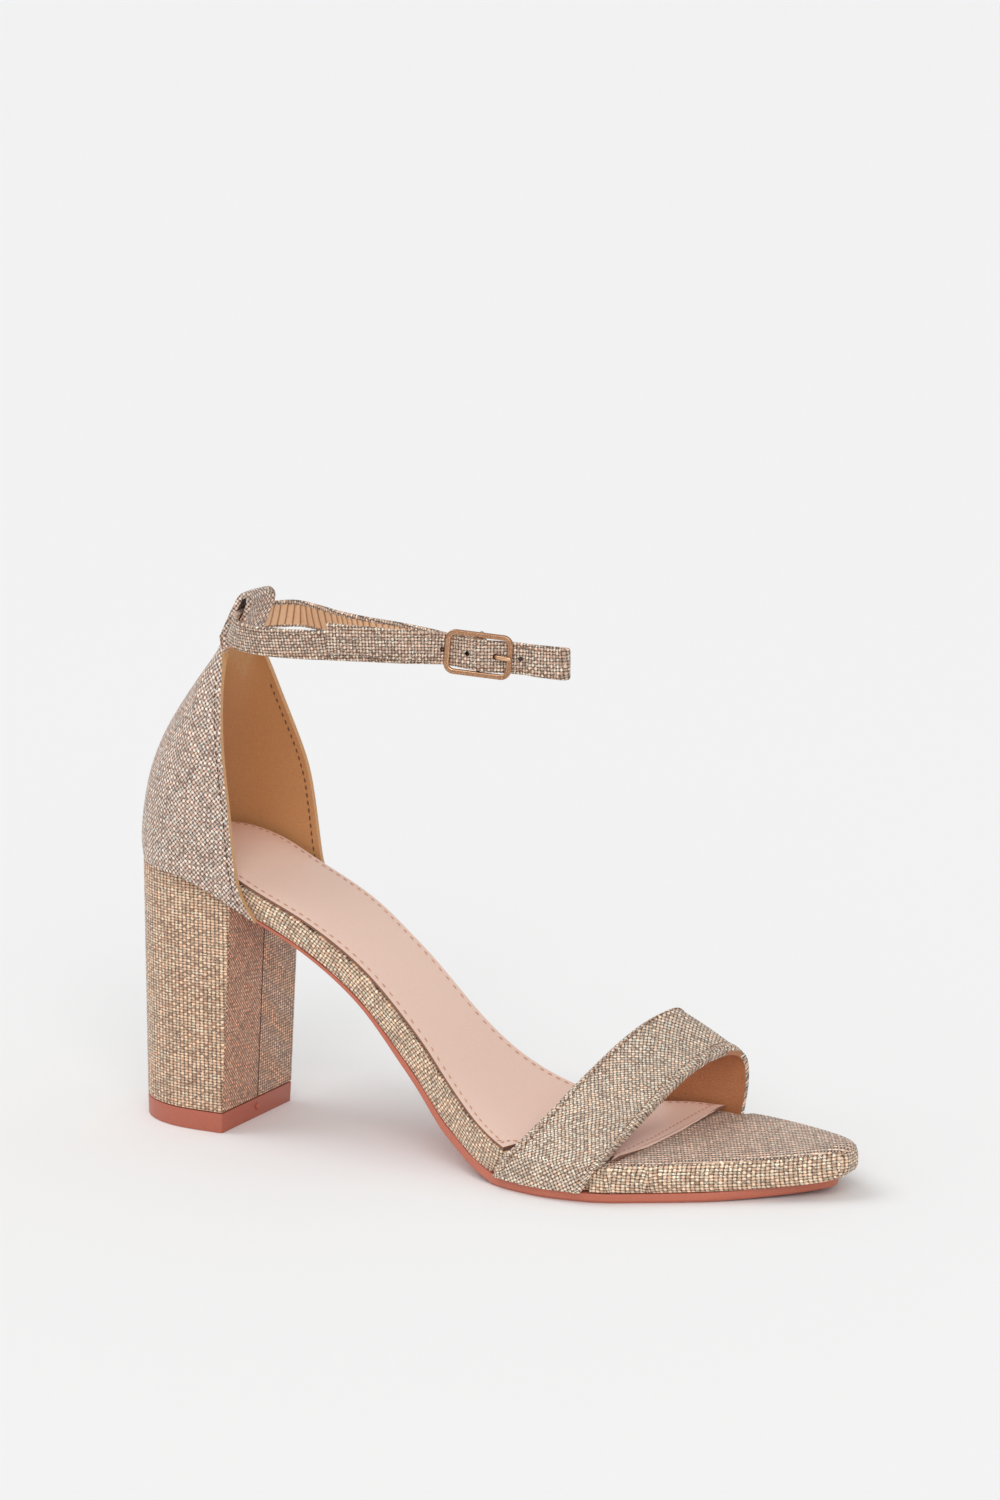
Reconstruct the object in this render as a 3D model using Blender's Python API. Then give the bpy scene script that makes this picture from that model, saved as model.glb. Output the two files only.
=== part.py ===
"""Heeled sandal, right foot: block heel, forefoot strap, closed back with an ankle strap.

Metres, +Z up. X runs from the heel to the toe, +Y to the inner (medial) side of the foot, and the floor
is z = 0. The origin is the middle of the heel tip's floor face. Every piece is one closed solid.
Tables hold shares of the named sizes beside them, one row for each section or fold.
"""
import math

import bmesh
import bpy
from mathutils import Vector

for item in list(bpy.data.objects):
    bpy.data.objects.remove(item, do_unlink=True)

CLEARANCE = 0.0003          # gap between neighbouring pieces

# Sole
SOLE_LENGTH = 0.2230        # insole board, back of the seat to the toe tip, along the floor
SEAT_BACK = -0.0165         # where the sole's shares start, under the back quarter's outer face
BOARD_BACK = -0.0145        # back of the insole board, inside the back quarter
BALL_WIDTH = 0.0725
SEAT_SHARE = 0.293          # half the seat's width, as a share of BALL_WIDTH
SEAT_HEIGHT = 0.0858        # top of the sock at the back of the seat
TOE_SPRING = 0.0032
PLATFORM_SWELL = 0.0028     # extra height of the forepart in front of the ball
SOCK_THICKNESS = 0.0010
RAND_THICKNESS = 0.0066     # wrapped insole board, square to its slope
OUTSOLE_THICKNESS = 0.0028
HEEL_SEAT_RADIUS = 0.0240   # plan rounding of the board's back
SEAT_FULLNESS = 2.2         # 2 would be an ellipse, more is squarer
TOE_CORNER = 0.0085         # plan rounding of the toe's two corners
TOE_FLAT = 0.44             # share of the toe's width that the front edge keeps
SOLE_STATIONS = 46          # cross sections of the sole, the same for all of its layers
SOCK_INSET_LATERAL = 0.0006
SOCK_INSET_MEDIAL = 0.0016
SOCK_STRAP_INSET = 0.0046   # extra inset where the forefoot strap comes up on the outer side
SOCK_FRONT_AHEAD = 0.008    # share of the sole from the strap's outer front corner to the sock's front edge
SOCK_FRONT_RUN = 0.035      # share over which the sections turn into that edge
SOCK_FRONT_BOW = 0.0030     # how far the sock's front edge bulges forward in its middle
SOCK_FRONT_REACH = 0.0042   # how far its inner end lies ahead of its outer end
WINDOW_MARGIN = 0.004       # shares of the sole beside the forefoot strap where the rand is stepped in
WINDOW_FADE = 0.005         # share over which it steps back out
OUTSOLE_INSET = 0.0008      # outsole edge inside the rand's edge
OUTSOLE_TOE_INSET = 0.0058
OUTSOLE_TOE_START = 0.86    # share of the sole where the inset starts to grow to that
RAND_UNDERCUT = 0.0010
RAND_ROUND = 0.0010         # rounding of the rand's upper edge
STRAP_ROUND = 0.0018        # the same under the forefoot strap
TOE_ROUND = 0.0037          # the same on the padded toe platform
TOE_ROUND_RUN = 0.06        # share of the sole over which it grows to that
NOSE_DROP = 0.8             # shares of TOE_ROUND taken off the tip's top and foot
NOSE_LIFT = 0.6

# Heel
HEEL_WIDTH = 0.0412
HEEL_BACK = -0.0170
TIP_FRONT = 0.0172
BREAST_LEAN = 0.0040        # the breast's top lies this far in front of its foot
BACK_LEAN = 0.0003          # the back's top lies this far behind its foot
HEEL_BACK_CENTRE = 0.0080   # where the straight sides turn into the round back
HEEL_FULLNESS = 0.94        # 1 would be an ellipse, less is squarer
BREAST_EDGE = 0.0010
TIP_THICKNESS = 0.0060

# Back quarter of the upper
COUNTER_WALL = 0.0016
COUNTER_RISE = 0.0660       # lower edge at the back to the root of the tongue
COUNTER_REACH = 0.0484      # rearmost point to the foremost point of its lower edge
COUNTER_OFF_SEAT = 0.00136  # between the board's edge at the seat and the back quarter's inner face
COUNTER_HALF_WIDTH = SEAT_SHARE * BALL_WIDTH + COUNTER_OFF_SEAT + COUNTER_WALL
COUNTER_BACK = -0.0172
LOOP_WIDTH = 0.0138
LOOP_SET_BACK = 0.0004      # tongue's root behind the counter's upper edge
LOOP_LEAN = math.radians(26.5)
LOOP_SLACK = 0.0005         # each side of the ankle strap, inside the loop
LOOP_ROOT_GAP = 0.0024      # between the tongue's root and the strap's lower edge
LOOP_HEADROOM = 0.0044      # between the strap's upper edge and the crown of the loop
LOOP_BEND_RADIUS = 0.0260

# Forefoot strap
TOE_STRAP_WALL = 0.0018
TOE_STRAP_RISE = 0.0288     # its highest point above the sock
TOE_STRAP_PROUD = 0.0008    # how far it stands out from the rand's edge
TOE_STRAP_SLANT = 0.0055    # how far its outer foot runs back on the rand's side

# Ankle strap and buckle
STRAP_WIDTH = 0.0090
STRAP_THICKNESS = 0.0014
SKIVED_THICKNESS = 0.0008   # where the strap turns round the buckle's bar
ANKLE_REACH = 0.1056        # back of the loop to the fold in front
ANKLE_HALF_SPAN = 0.0200
STRAP_ROLL = math.radians(22.0)     # how far the band's upper edge tips to the outer side
FOLD_RADIUS = 0.0012
HOLE_RADIUS = 0.0007
HOLE_PITCH = 0.0075
BUCKLE_LENGTH = 0.0196
BUCKLE_WIRE = 0.0015        # width of the frame's rim, seen from outside
BUCKLE_DEPTH = 0.0014
BUCKLE_CORNER = 0.0030
BUCKLE_SLACK = 0.0004       # each side of the strap, inside the frame
BAR_RADIUS = 0.0006
BAR_SET_BACK = 0.0019       # bar's axis behind the frame's middle plane
PRONG_THICKNESS = 0.0008
PRONG_WIDTH = 0.0012
BAR_PLACE = (0.760, -0.260, -0.22)  # in shares of ANKLE_REACH, ANKLE_HALF_SPAN and STRAP_WIDTH
PRONG_HOLE = 0.45           # share of the buckle's half length from the bar to the hole its prong uses
TIP_FOOT_DRAFT = 0.0003     # the tip's foot is narrower than its top by this on each side
BUCKLE_HEADING = math.radians(15.5)
BUCKLE_DROOP = math.radians(5.0)

FABRIC = (0.52, 0.43, 0.31, 1.0)
SOCK_PINK = (0.78, 0.58, 0.48, 1.0)
SOLE_BROWN = (0.50, 0.24, 0.17, 1.0)
OLD_GOLD = (0.55, 0.38, 0.22, 1.0)


class Table:
    """Rows of hand-chosen numbers under named columns, read with a smooth curve through the rows."""

    def __init__(self, columns, rows):
        self.columns = columns
        self.rows = rows

    def column(self, name):
        place = self.columns.index(name)
        return [row[place] for row in self.rows]

    def at(self, name, share):
        """Value of a column where the first column equals the share, without overshoot."""
        xs = self.column(self.columns[0])
        ys = self.column(name)
        share = min(max(share, xs[0]), xs[-1])
        i = 0
        while i < len(xs) - 2 and share > xs[i + 1]:
            i += 1
        steps = [(ys[k + 1] - ys[k]) / (xs[k + 1] - xs[k]) for k in range(len(xs) - 1)]

        def slope(k):
            if k == 0 or k == len(xs) - 1:
                return steps[min(k, len(steps) - 1)]
            before, after = steps[k - 1], steps[k]
            if before * after <= 0.0:
                return 0.0
            return 2.0 * before * after / (before + after)

        span = xs[i + 1] - xs[i]
        t = (share - xs[i]) / span
        a = 2 * t**3 - 3 * t**2 + 1
        b = t**3 - 2 * t**2 + t
        c = -2 * t**3 + 3 * t**2
        d = t**3 - t**2
        return a * ys[i] + b * span * slope(i) + c * ys[i + 1] + d * span * slope(i + 1)


# along: share of SOLE_LENGTH. rise: share of the climb from forepart to seat. spring: share of TOE_SPRING.
# swell: share of PLATFORM_SWELL. lateral and medial: shares of BALL_WIDTH. rand and outsole: shares of their
# thicknesses.
SOLE = Table(("along", "rise", "spring", "swell", "lateral", "medial", "rand", "outsole"), (
    (0.00, 1.000, 0.00, 0.0, SEAT_SHARE, SEAT_SHARE, 0.90, 0.30),
    (0.08, 0.988, 0.00, 0.0, SEAT_SHARE, SEAT_SHARE, 0.92, 0.30),
    (0.14, 0.950, 0.00, 0.0, SEAT_SHARE, SEAT_SHARE, 0.96, 0.30),
    (0.20, 0.866, 0.00, 0.0, 0.292, 0.293, 1.00, 0.32),
    (0.28, 0.752, 0.00, 0.0, 0.272, 0.286, 1.06, 0.36),
    (0.36, 0.592, 0.00, 0.0, 0.253, 0.252, 1.14, 0.55),
    (0.44, 0.367, 0.00, 0.0, 0.266, 0.249, 1.28, 0.95),
    (0.50, 0.190, 0.00, 0.0, 0.321, 0.304, 1.42, 1.10),
    (0.56, 0.070, 0.00, 0.0, 0.408, 0.392, 1.36, 1.10),
    (0.62, 0.006, 0.00, 0.1, 0.466, 0.464, 1.08, 1.00),
    (0.66, 0.000, 0.00, 0.3, 0.481, 0.507, 1.00, 1.00),
    (0.72, 0.000, 0.00, 0.6, 0.458, 0.546, 1.00, 1.00),
    (0.78, 0.000, 0.00, 0.8, 0.368, 0.532, 1.00, 1.00),
    (0.84, 0.000, 0.04, 1.0, 0.263, 0.488, 1.00, 1.00),
    (0.90, 0.000, 0.20, 1.0, 0.152, 0.416, 1.00, 1.00),
    (0.95, 0.000, 0.50, 1.0, 0.060, 0.322, 1.00, 1.00),
    (1.00, 0.000, 1.00, 0.9, -0.030, 0.200, 1.00, 1.00),
))

# up_back, up_front: shares of COUNTER_RISE above the board's lower edge at the back. back, lateral, medial:
# shares of COUNTER_REACH from COUNTER_BACK, for the back and the two front edges. half: share of
# COUNTER_HALF_WIDTH.
COUNTER = Table(("row", "up_back", "up_front", "back", "lateral", "medial", "half"), (
    (0, 0.00, -0.16, 0.016, 0.996, 1.005, 0.960),
    (1, 0.05, -0.09, 0.004, 0.894, 0.922, 0.975),
    (2, 0.14, 0.02, 0.000, 0.865, 0.894, 0.998),
    (3, 0.31, 0.31, 0.037, 0.824, 0.846, 0.992),
    (4, 0.44, 0.44, 0.084, 0.788, 0.804, 0.945),
    (5, 0.60, 0.60, 0.180, 0.733, 0.745, 0.830),
    (6, 0.77, 0.77, 0.343, 0.688, 0.696, 0.665),
    (7, 0.89, 0.885, 0.469, 0.667, 0.672, 0.540),
    (8, 0.96, 0.955, 0.553, 0.635, 0.638, 0.425),
))
COUNTER_ROUND = 1.12        # depth of the round back, as a share of the half width
COUNTER_FULLNESS = 0.92     # 1 would be an ellipse, less is squarer
COUNTER_STRAIGHT = 0.24     # share of a side's points on its straight part

# The counter's tongue, from its root over the ankle strap and down inside. along: share of the way from
# root to crown, and ahead: share of the loop's depth in front of the outer layer.
TONGUE = Table(("row", "along", "ahead"), (
    (0, 0.06, 0.00),
    (1, 0.36, 0.00),
    (2, 0.80, 0.00),
    (3, 0.95, 0.15),
    (4, 1.00, 0.50),
    (5, 0.95, 0.85),
    (6, 0.80, 1.00),
    (7, 0.36, 1.00),
    (8, 0.14, 0.98),
    (9, 0.04, 0.82),
))

# The forefoot strap, outer side to inner side. across: share of the way from the lateral to the medial rand
# edge. up_back, up_front: shares of TOE_STRAP_RISE above the sock. level: share of the sole's own height
# left under a foot of the strap. back, front: places of the two edges in the strap's plan, 0 at its outer end.
# slant: share of TOE_STRAP_SLANT that a foot runs back.
TOE_STRAP = Table(("row", "across", "up_back", "up_front", "level", "back", "front", "slant"), (
    (0, 0.000, 0.00, 0.00, 0.00, 0.00, 0.00, 1.00),
    (1, 0.000, 0.00, 0.00, 0.50, 0.00, 0.00, 0.50),
    (2, 0.004, 0.00, 0.00, 0.90, 0.02, 0.01, 0.10),
    (3, 0.040, 0.02, 0.02, 1.00, 0.06, 0.04, 0.00),
    (4, 0.110, 0.13, 0.11, 1.00, 0.17, 0.11, 0.00),
    (5, 0.200, 0.25, 0.20, 1.00, 0.31, 0.20, 0.00),
    (6, 0.330, 0.43, 0.33, 1.00, 0.51, 0.33, 0.00),
    (7, 0.460, 0.61, 0.46, 1.00, 0.71, 0.46, 0.00),
    (8, 0.590, 0.78, 0.56, 1.00, 0.91, 0.59, 0.00),
    (9, 0.710, 0.90, 0.61, 1.00, 1.09, 0.71, 0.00),
    (10, 0.820, 0.965, 0.62, 1.00, 1.26, 0.82, 0.00),
    (11, 0.900, 0.98, 0.60, 1.00, 1.36, 0.90, 0.00),
    (12, 0.968, 0.92, 0.54, 1.00, 1.38, 0.96, 0.00),
    (13, 1.006, 0.78, 0.43, 1.00, 1.33, 1.00, 0.00),
    (14, 1.017, 0.50, 0.26, 1.00, 1.20, 1.00, 0.00),
    (15, 1.008, 0.20, 0.08, 1.00, 1.07, 1.00, 0.05),
    (16, 1.000, 0.00, 0.00, 0.80, 1.00, 1.00, 0.15),
    (17, 1.000, 0.00, 0.00, 0.00, 1.00, 1.00, 0.40),
))
# Plan of the strap's two edges on the insole, as shares of SOLE_LENGTH.
TOE_STRAP_BACK_LATERAL = 0.605
TOE_STRAP_BACK_MEDIAL = 0.672
TOE_STRAP_FRONT_LATERAL = 0.735
TOE_STRAP_FRONT_MEDIAL = 0.788

# The ankle strap's middle line, from beside the buckle's bar back along the outer side, round the heel,
# and forward along the inner side to the fold. along, across: shares of ANKLE_REACH and ANKLE_HALF_SPAN.
# up: share of STRAP_WIDTH. lean: share of LOOP_LEAN. roll: share of STRAP_ROLL.
STRAP_RUN = Table(("row", "along", "across", "up", "lean", "roll"), (
    (0, 0.640, -0.375, -0.15, 0.00, 0.0),
    (1, 0.560, -0.560, -0.15, 0.00, 0.2),
    (2, 0.455, -0.720, -0.15, 0.00, 0.4),
    (3, 0.355, -0.850, -0.16, 0.00, 0.5),
    (4, 0.255, -0.950, -0.18, 0.05, 0.6),
    (5, 0.165, -0.985, -0.17, 0.12, 0.7),
    (6, 0.092, -0.900, -0.12, 0.30, 0.6),
    (7, 0.040, -0.680, -0.05, 0.65, 0.3),
    (8, 0.010, -0.370, 0.00, 1.00, 0.0),
    (9, 0.000, 0.000, 0.00, 1.00, 0.0),
    (10, 0.010, 0.370, 0.00, 1.00, 0.0),
    (11, 0.036, 0.690, 0.00, 0.65, 0.5),
    (12, 0.080, 0.915, -0.03, 0.30, 1.0),
    (13, 0.142, 0.890, -0.10, 0.10, 1.0),
    (14, 0.235, 0.715, -0.17, 0.00, 1.0),
    (15, 0.335, 0.590, -0.23, 0.00, 0.9),
    (16, 0.445, 0.510, -0.29, 0.00, 0.7),
    (17, 0.550, 0.370, -0.35, 0.00, 0.4),
    (18, 0.650, 0.130, -0.38, 0.00, 0.1),
    (19, 0.748, -0.070, -0.39, 0.00, 0.0),
    (20, 0.840, -0.010, -0.39, 0.00, 0.0),
    (21, 0.910, 0.030, -0.41, 0.00, 0.0),
    (22, 0.975, 0.060, -0.42, 0.00, 0.0),
))
# From the fold back to the buckle.
STRAP_TIP = Table(("row", "along", "across", "up", "lean", "roll"), (
    (0, 0.975, -0.060, -0.42, 0.00, 0.0),
    (1, 0.920, -0.085, -0.39, 0.00, 0.0),
))
# From the buckle to the free end, outside the strap's own first layer.
STRAP_FREE_END = Table(("row", "along", "across", "up", "lean", "roll"), (
    (0, 0.630, -0.525, -0.05, 0.00, 0.1),
    (1, 0.560, -0.665, 0.00, 0.00, 0.2),
    (2, 0.455, -0.825, 0.07, 0.00, 0.4),
    (3, 0.365, -0.965, 0.13, 0.00, 0.5),
))


def sole_x(share):
    return SEAT_BACK + SOLE_LENGTH * share


def sole_share(x):
    return (x - SEAT_BACK) / SOLE_LENGTH


def forepart_height():
    return OUTSOLE_THICKNESS + RAND_THICKNESS + SOCK_THICKNESS + 2 * CLEARANCE


def swell(share):
    return PLATFORM_SWELL * SOLE.at("swell", share)


def sock_top(share):
    climb = (SEAT_HEIGHT - forepart_height()) * SOLE.at("rise", share)
    return forepart_height() + climb + TOE_SPRING * SOLE.at("spring", share) + swell(share)


def steepness(share):
    """Upright depth of a layer that is one unit thick square to the slope."""
    step = 0.004
    low = max(share - step, 0.0)
    high = min(share + step, 1.0)
    run = (high - low) * SOLE_LENGTH
    return math.hypot(run, sock_top(high) - sock_top(low)) / run


def board_top(share):
    return sock_top(share) - (SOCK_THICKNESS + CLEARANCE) * steepness(share)


def board_bottom(share):
    return board_top(share) - RAND_THICKNESS * SOLE.at("rand", share) * steepness(share) - swell(share)


def outsole_top(share):
    return board_bottom(share) - CLEARANCE * steepness(share)


def outsole_bottom(share):
    bottom = outsole_top(share) - OUTSOLE_THICKNESS * SOLE.at("outsole", share) * steepness(share)
    return max(bottom, 0.0)


def plan_edge(share, side, inset=0.0):
    """y of the board's edge, with the round seat and the soft-square toe. side is lateral or medial."""
    x = sole_x(share)
    lateral = -SOLE.at("lateral", share) * BALL_WIDTH + inset
    medial = SOLE.at("medial", share) * BALL_WIDTH - inset
    middle = (lateral + medial) / 2
    edge = lateral if side == "lateral" else medial
    from_back = (x - BOARD_BACK - inset) / HEEL_SEAT_RADIUS
    if from_back < 1.0:
        edge *= max(1.0 - (1.0 - max(from_back, 0.0)) ** SEAT_FULLNESS, 0.0) ** (1 / SEAT_FULLNESS)
    to_front = (SEAT_BACK + SOLE_LENGTH - inset - x) / TOE_CORNER
    if to_front < 1.0:
        roundness = math.sqrt(max(1.0 - (1.0 - max(to_front, 0.0)) ** 2, 0.0))
        edge = middle + (edge - middle) * (TOE_FLAT + (1.0 - TOE_FLAT) * roundness)
    return edge


def slant_share():
    return TOE_STRAP_SLANT / SOLE_LENGTH


def strap_window_ends(side, height):
    """Shares between which the forefoot strap lies on the rand. height is 0 at the rand's foot, 1 on top."""
    slant = slant_share() * (1.0 - height)
    if side == "lateral":
        low, high = TOE_STRAP_BACK_LATERAL - slant, TOE_STRAP_FRONT_LATERAL - slant
    else:
        slant *= TOE_STRAP.column("slant")[-1]
        low, high = TOE_STRAP_BACK_MEDIAL - slant, TOE_STRAP_FRONT_MEDIAL - slant
    return low - WINDOW_MARGIN, high + WINDOW_MARGIN


def strap_window(share, side, height):
    """1 where the forefoot strap covers the rand's side, 0 clear of it."""
    low, high = strap_window_ends(side, height)
    rising = min(max((share - low + WINDOW_FADE) / WINDOW_FADE, 0.0), 1.0)
    falling = min(max((high + WINDOW_FADE - share) / WINDOW_FADE, 0.0), 1.0)
    return min(rising, falling)


def strap_recess():
    """How far the rand steps in to let the strap's foot lie against it."""
    return TOE_STRAP_WALL + 2 * CLEARANCE - TOE_STRAP_PROUD


def make_material(name, colour, roughness, metallic):
    material = bpy.data.materials.new(name)
    material.use_nodes = True
    shader = material.node_tree.nodes["Principled BSDF"]
    shader.inputs["Base Color"].default_value = colour
    shader.inputs["Roughness"].default_value = roughness
    shader.inputs["Metallic"].default_value = metallic
    material.diffuse_color = colour
    return material


MATERIALS = {
    "fabric": make_material("lurex_fabric", FABRIC, 0.55, 0.25),
    "sock": make_material("sock_leather", SOCK_PINK, 0.45, 0.0),
    "sole": make_material("sole_rubber", SOLE_BROWN, 0.50, 0.0),
    "metal": make_material("buckle_metal", OLD_GOLD, 0.30, 1.0),
}


def add_object(name, mesh_data, material, smooth_angle=40.0):
    """Turns a bmesh, whose faces all wind one way, into a named object with outward faces."""
    mesh_data.normal_update()
    middle = sum((vert.co for vert in mesh_data.verts), Vector()) / len(mesh_data.verts)
    outward = 0.0
    for face in mesh_data.faces:
        outward += face.calc_area() * face.normal.dot(face.calc_center_median() - middle)
    if outward < 0.0:
        bmesh.ops.reverse_faces(mesh_data, faces=mesh_data.faces)
    mesh = bpy.data.meshes.new(name)
    mesh_data.to_mesh(mesh)
    mesh_data.free()
    mesh.shade_smooth()
    mesh.set_sharp_from_angle(angle=math.radians(smooth_angle))
    piece = bpy.data.objects.new(name, mesh)
    piece.data.materials.append(MATERIALS[material])
    bpy.context.scene.collection.objects.link(piece)
    return piece


def add_modifier(piece, kind, **settings):
    modifier = piece.modifiers.new(kind.title(), kind)
    for name, value in settings.items():
        setattr(modifier, name, value)
    return modifier


def loft(rings, closed=True, caps=True):
    """Skins rings of points with quads. closed joins each ring's ends, caps fills the first and last ring."""
    data = bmesh.new()
    loops = [[data.verts.new(point) for point in ring] for ring in rings]
    for near, far in zip(loops, loops[1:]):
        count = len(near)
        last = count if closed else count - 1
        for i in range(last):
            k = (i + 1) % count
            data.faces.new((near[i], near[k], far[k], far[i]))
    if caps:
        data.faces.new(reversed(loops[0]))
        data.faces.new(loops[-1])
    return data


def sole_stations(start, end, round_start, round_end):
    """Shares along the sole from one grid for all layers, with more of them at a round end."""
    shares = [start, end]
    step = 1.0 / SOLE_STATIONS
    for i in range(1, SOLE_STATIONS):
        if start + step * 0.5 < i * step < end - step * 0.5:
            shares.append(i * step)
    for side in ("lateral", "medial"):
        for height in (0.0, 1.0):
            low, high = strap_window_ends(side, height)
            edges = (low - WINDOW_FADE, low, high, high + WINDOW_FADE)
            shares += [edge for edge in edges if start < edge < end]
    if round_start:
        shares += [start + step * t for t in (0.03, 0.12, 0.30)]
    if round_end:
        shares += [end - step * t for t in (0.03, 0.12, 0.30)]
    return sorted(shares)


def rand_side(share, side, top, low):
    """Half of the rand's section, foot to top, stepped in under the forefoot strap."""
    inward = 1.0 if side == "lateral" else -1.0
    foot = outsole_top(share) + CLEARANCE
    half = (plan_edge(share, "medial") - plan_edge(share, "lateral")) / 2
    toe = min(max((share - TOE_STRAP_FRONT_LATERAL) / TOE_ROUND_RUN, 0.0), 1.0)
    rounding = RAND_ROUND + (TOE_ROUND - RAND_ROUND) * toe + STRAP_ROUND * strap_window(share, side, 1.0)
    rounding = min(rounding, (top - low) * 0.55, half * 0.6)
    undercut = min(RAND_UNDERCUT, half * 0.4)
    climb = top - rounding - low
    points = []
    for z, inset in (
        (low, undercut),
        (low + climb * 0.2, undercut * 0.15),
        (low + climb * 0.6, 0.0),
        (top - rounding, 0.0),
        (top - rounding * 0.3, rounding * 0.3),
        (top, rounding),
    ):
        height = (z - foot) / (sock_top(share) - foot)
        inset += strap_recess() * strap_window(share, side, height)
        points.append((sole_x(share), plan_edge(share, side) + inward * inset, z))
    return points


def build_midsole():
    """Insole board, rand and padded toe platform, wrapped in fabric as one piece."""
    rings = []
    for share in sole_stations(sole_share(BOARD_BACK), 1.0, True, True):
        nose = min(max((sole_x(1.0) - sole_x(share)) / TOE_ROUND, 0.0), 1.0)
        nose_cut = TOE_ROUND * (1.0 - math.sqrt(1.0 - (1.0 - nose) ** 2))
        top = board_top(share) - nose_cut * NOSE_DROP
        low = board_bottom(share) + nose_cut * NOSE_LIFT
        medial = rand_side(share, "medial", top, low)
        rings.append(rand_side(share, "lateral", top, low) + medial[::-1])
    return add_object("midsole", loft(rings), "fabric")


def build_sock():
    """Sock lining on the board, cut off in a shallow curve behind the toe."""
    front = TOE_STRAP_FRONT_LATERAL + SOCK_FRONT_AHEAD
    bow_start = front - SOCK_FRONT_RUN
    soft = SOCK_THICKNESS * 0.4
    rings = []
    for share in sole_stations(sole_share(BOARD_BACK + SOCK_INSET_MEDIAL), front, True, False):
        lateral_step = strap_recess() + SOCK_STRAP_INSET
        lateral_inset = SOCK_INSET_LATERAL + lateral_step * strap_window(share, "lateral", 1.0)
        medial_inset = SOCK_INSET_MEDIAL + strap_recess() * strap_window(share, "medial", 1.0)
        left = plan_edge(share, "lateral", lateral_inset)
        right = plan_edge(share, "medial", medial_inset)
        top = sock_top(share)
        low = top - SOCK_THICKNESS * steepness(share)
        ahead = max(share - bow_start, 0.0) / (front - bow_start)
        upper = []
        for place in (0.06, 0.28, 0.5, 0.72, 0.94):
            upper.append((place, top))
        outline = [(0.0, top - soft)] + upper + [(1.0, top - soft)]
        outline += [(1.0, low), (0.72, low), (0.5, low), (0.28, low), (0.0, low)]
        ring = []
        for place, height in outline:
            bow = SOCK_FRONT_BOW * (1.0 - (2 * place - 1) ** 2) + SOCK_FRONT_REACH * place**3
            ring.append((sole_x(share) + bow * ahead, left + (right - left) * place, height))
        rings.append(ring)
    return add_object("insole_sock", loft(rings), "sock")


def build_outsole():
    """Thin moulded outsole from the heel breast to the toe."""
    start = sole_share(TIP_FRONT + BREAST_LEAN + CLEARANCE)
    end = 1.0 - OUTSOLE_TOE_INSET / SOLE_LENGTH
    rings = []
    for share in sole_stations(start, end, False, True):
        toe = min(max((share - OUTSOLE_TOE_START) / (end - OUTSOLE_TOE_START), 0.0), 1.0)
        inset = OUTSOLE_INSET + (OUTSOLE_TOE_INSET - OUTSOLE_INSET) * toe
        x = sole_x(share)
        left = plan_edge(share, "lateral", inset)
        right = plan_edge(share, "medial", inset)
        low = outsole_bottom(share)
        top = outsole_top(share)
        chamfer = (top - low) * 0.3
        rings.append((
            (x, left + chamfer, low),
            (x, left, low + chamfer),
            (x, left, top),
            (x, right, top),
            (x, right, low + chamfer),
            (x, right - chamfer, low),
        ))
    return add_object("outsole", loft(rings), "sole")


def heel_outline(back, front, half_width):
    """Half of the D-shaped plan, as (x, y) from the breast's middle to the back's middle."""
    centre = HEEL_BACK_CENTRE
    points = [(front, half_width * 0.5), (front, half_width - BREAST_EDGE)]
    points.append((front - BREAST_EDGE * 0.3, half_width - BREAST_EDGE * 0.3))
    points.append((front - BREAST_EDGE, half_width))
    for share in (0.25, 0.5, 0.75, 1.0):
        points.append((front - BREAST_EDGE - (front - BREAST_EDGE - centre) * share, half_width))
    turns = 9
    for i in range(1, turns):
        angle = math.pi / 2 * i / turns
        x = centre - (centre - back) * math.sin(angle) ** HEEL_FULLNESS
        points.append((x, half_width * math.cos(angle) ** HEEL_FULLNESS))
    return points


def heel_ring(back, front, half_width, height):
    """Whole plan ring. height is a function of x."""
    side = heel_outline(back, front, half_width)
    ring = [(x, -y, height(x)) for x, y in side]
    ring.append((back, 0.0, height(back)))
    ring += [(x, y, height(x)) for x, y in reversed(side)]
    return ring


def ladder_cap(data, loop, flip):
    """Fills a plan ring with rungs between the points that share an x."""
    count = len(loop)
    for i in range(count // 2 - 1):
        corners = (loop[i], loop[i + 1], loop[count - 2 - i], loop[count - 1 - i])
        data.faces.new(reversed(corners) if flip else corners)
    middle = count // 2
    corners = (loop[middle - 1], loop[middle], loop[middle + 1])
    data.faces.new(reversed(corners) if flip else corners)


def build_heel_piece(name, low_share, high_share, low, high, material, foot_width=0.0):
    """A slice of the D-shaped heel. low and high are functions of x, the shares go up the heel's lean."""
    data = bmesh.new()
    loops = []
    for part in (0.0, 0.5, 1.0):
        share = low_share + (high_share - low_share) * part
        back = HEEL_BACK - BACK_LEAN * share
        front = TIP_FRONT + BREAST_LEAN * share
        half_width = HEEL_WIDTH / 2 - foot_width * (1.0 - part)

        def height(x, part=part):
            return low(x) + (high(x) - low(x)) * part

        loops.append([data.verts.new(point) for point in heel_ring(back, front, half_width, height)])
    count = len(loops[0])
    for near, far in zip(loops, loops[1:]):
        for i in range(count):
            k = (i + 1) % count
            data.faces.new((near[i], near[k], far[k], far[i]))
    ladder_cap(data, loops[0], True)
    ladder_cap(data, loops[-1], False)
    return add_object(name, data, material, 30.0)


def heel_seat(x):
    """Top of the heel block: the board's lower face, less the gap."""
    return outsole_top(sole_share(max(x, SEAT_BACK)))


def tip_floor(x):
    return 0.0


def tip_top(x):
    return TIP_THICKNESS


def block_foot(x):
    return TIP_THICKNESS + CLEARANCE


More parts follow.
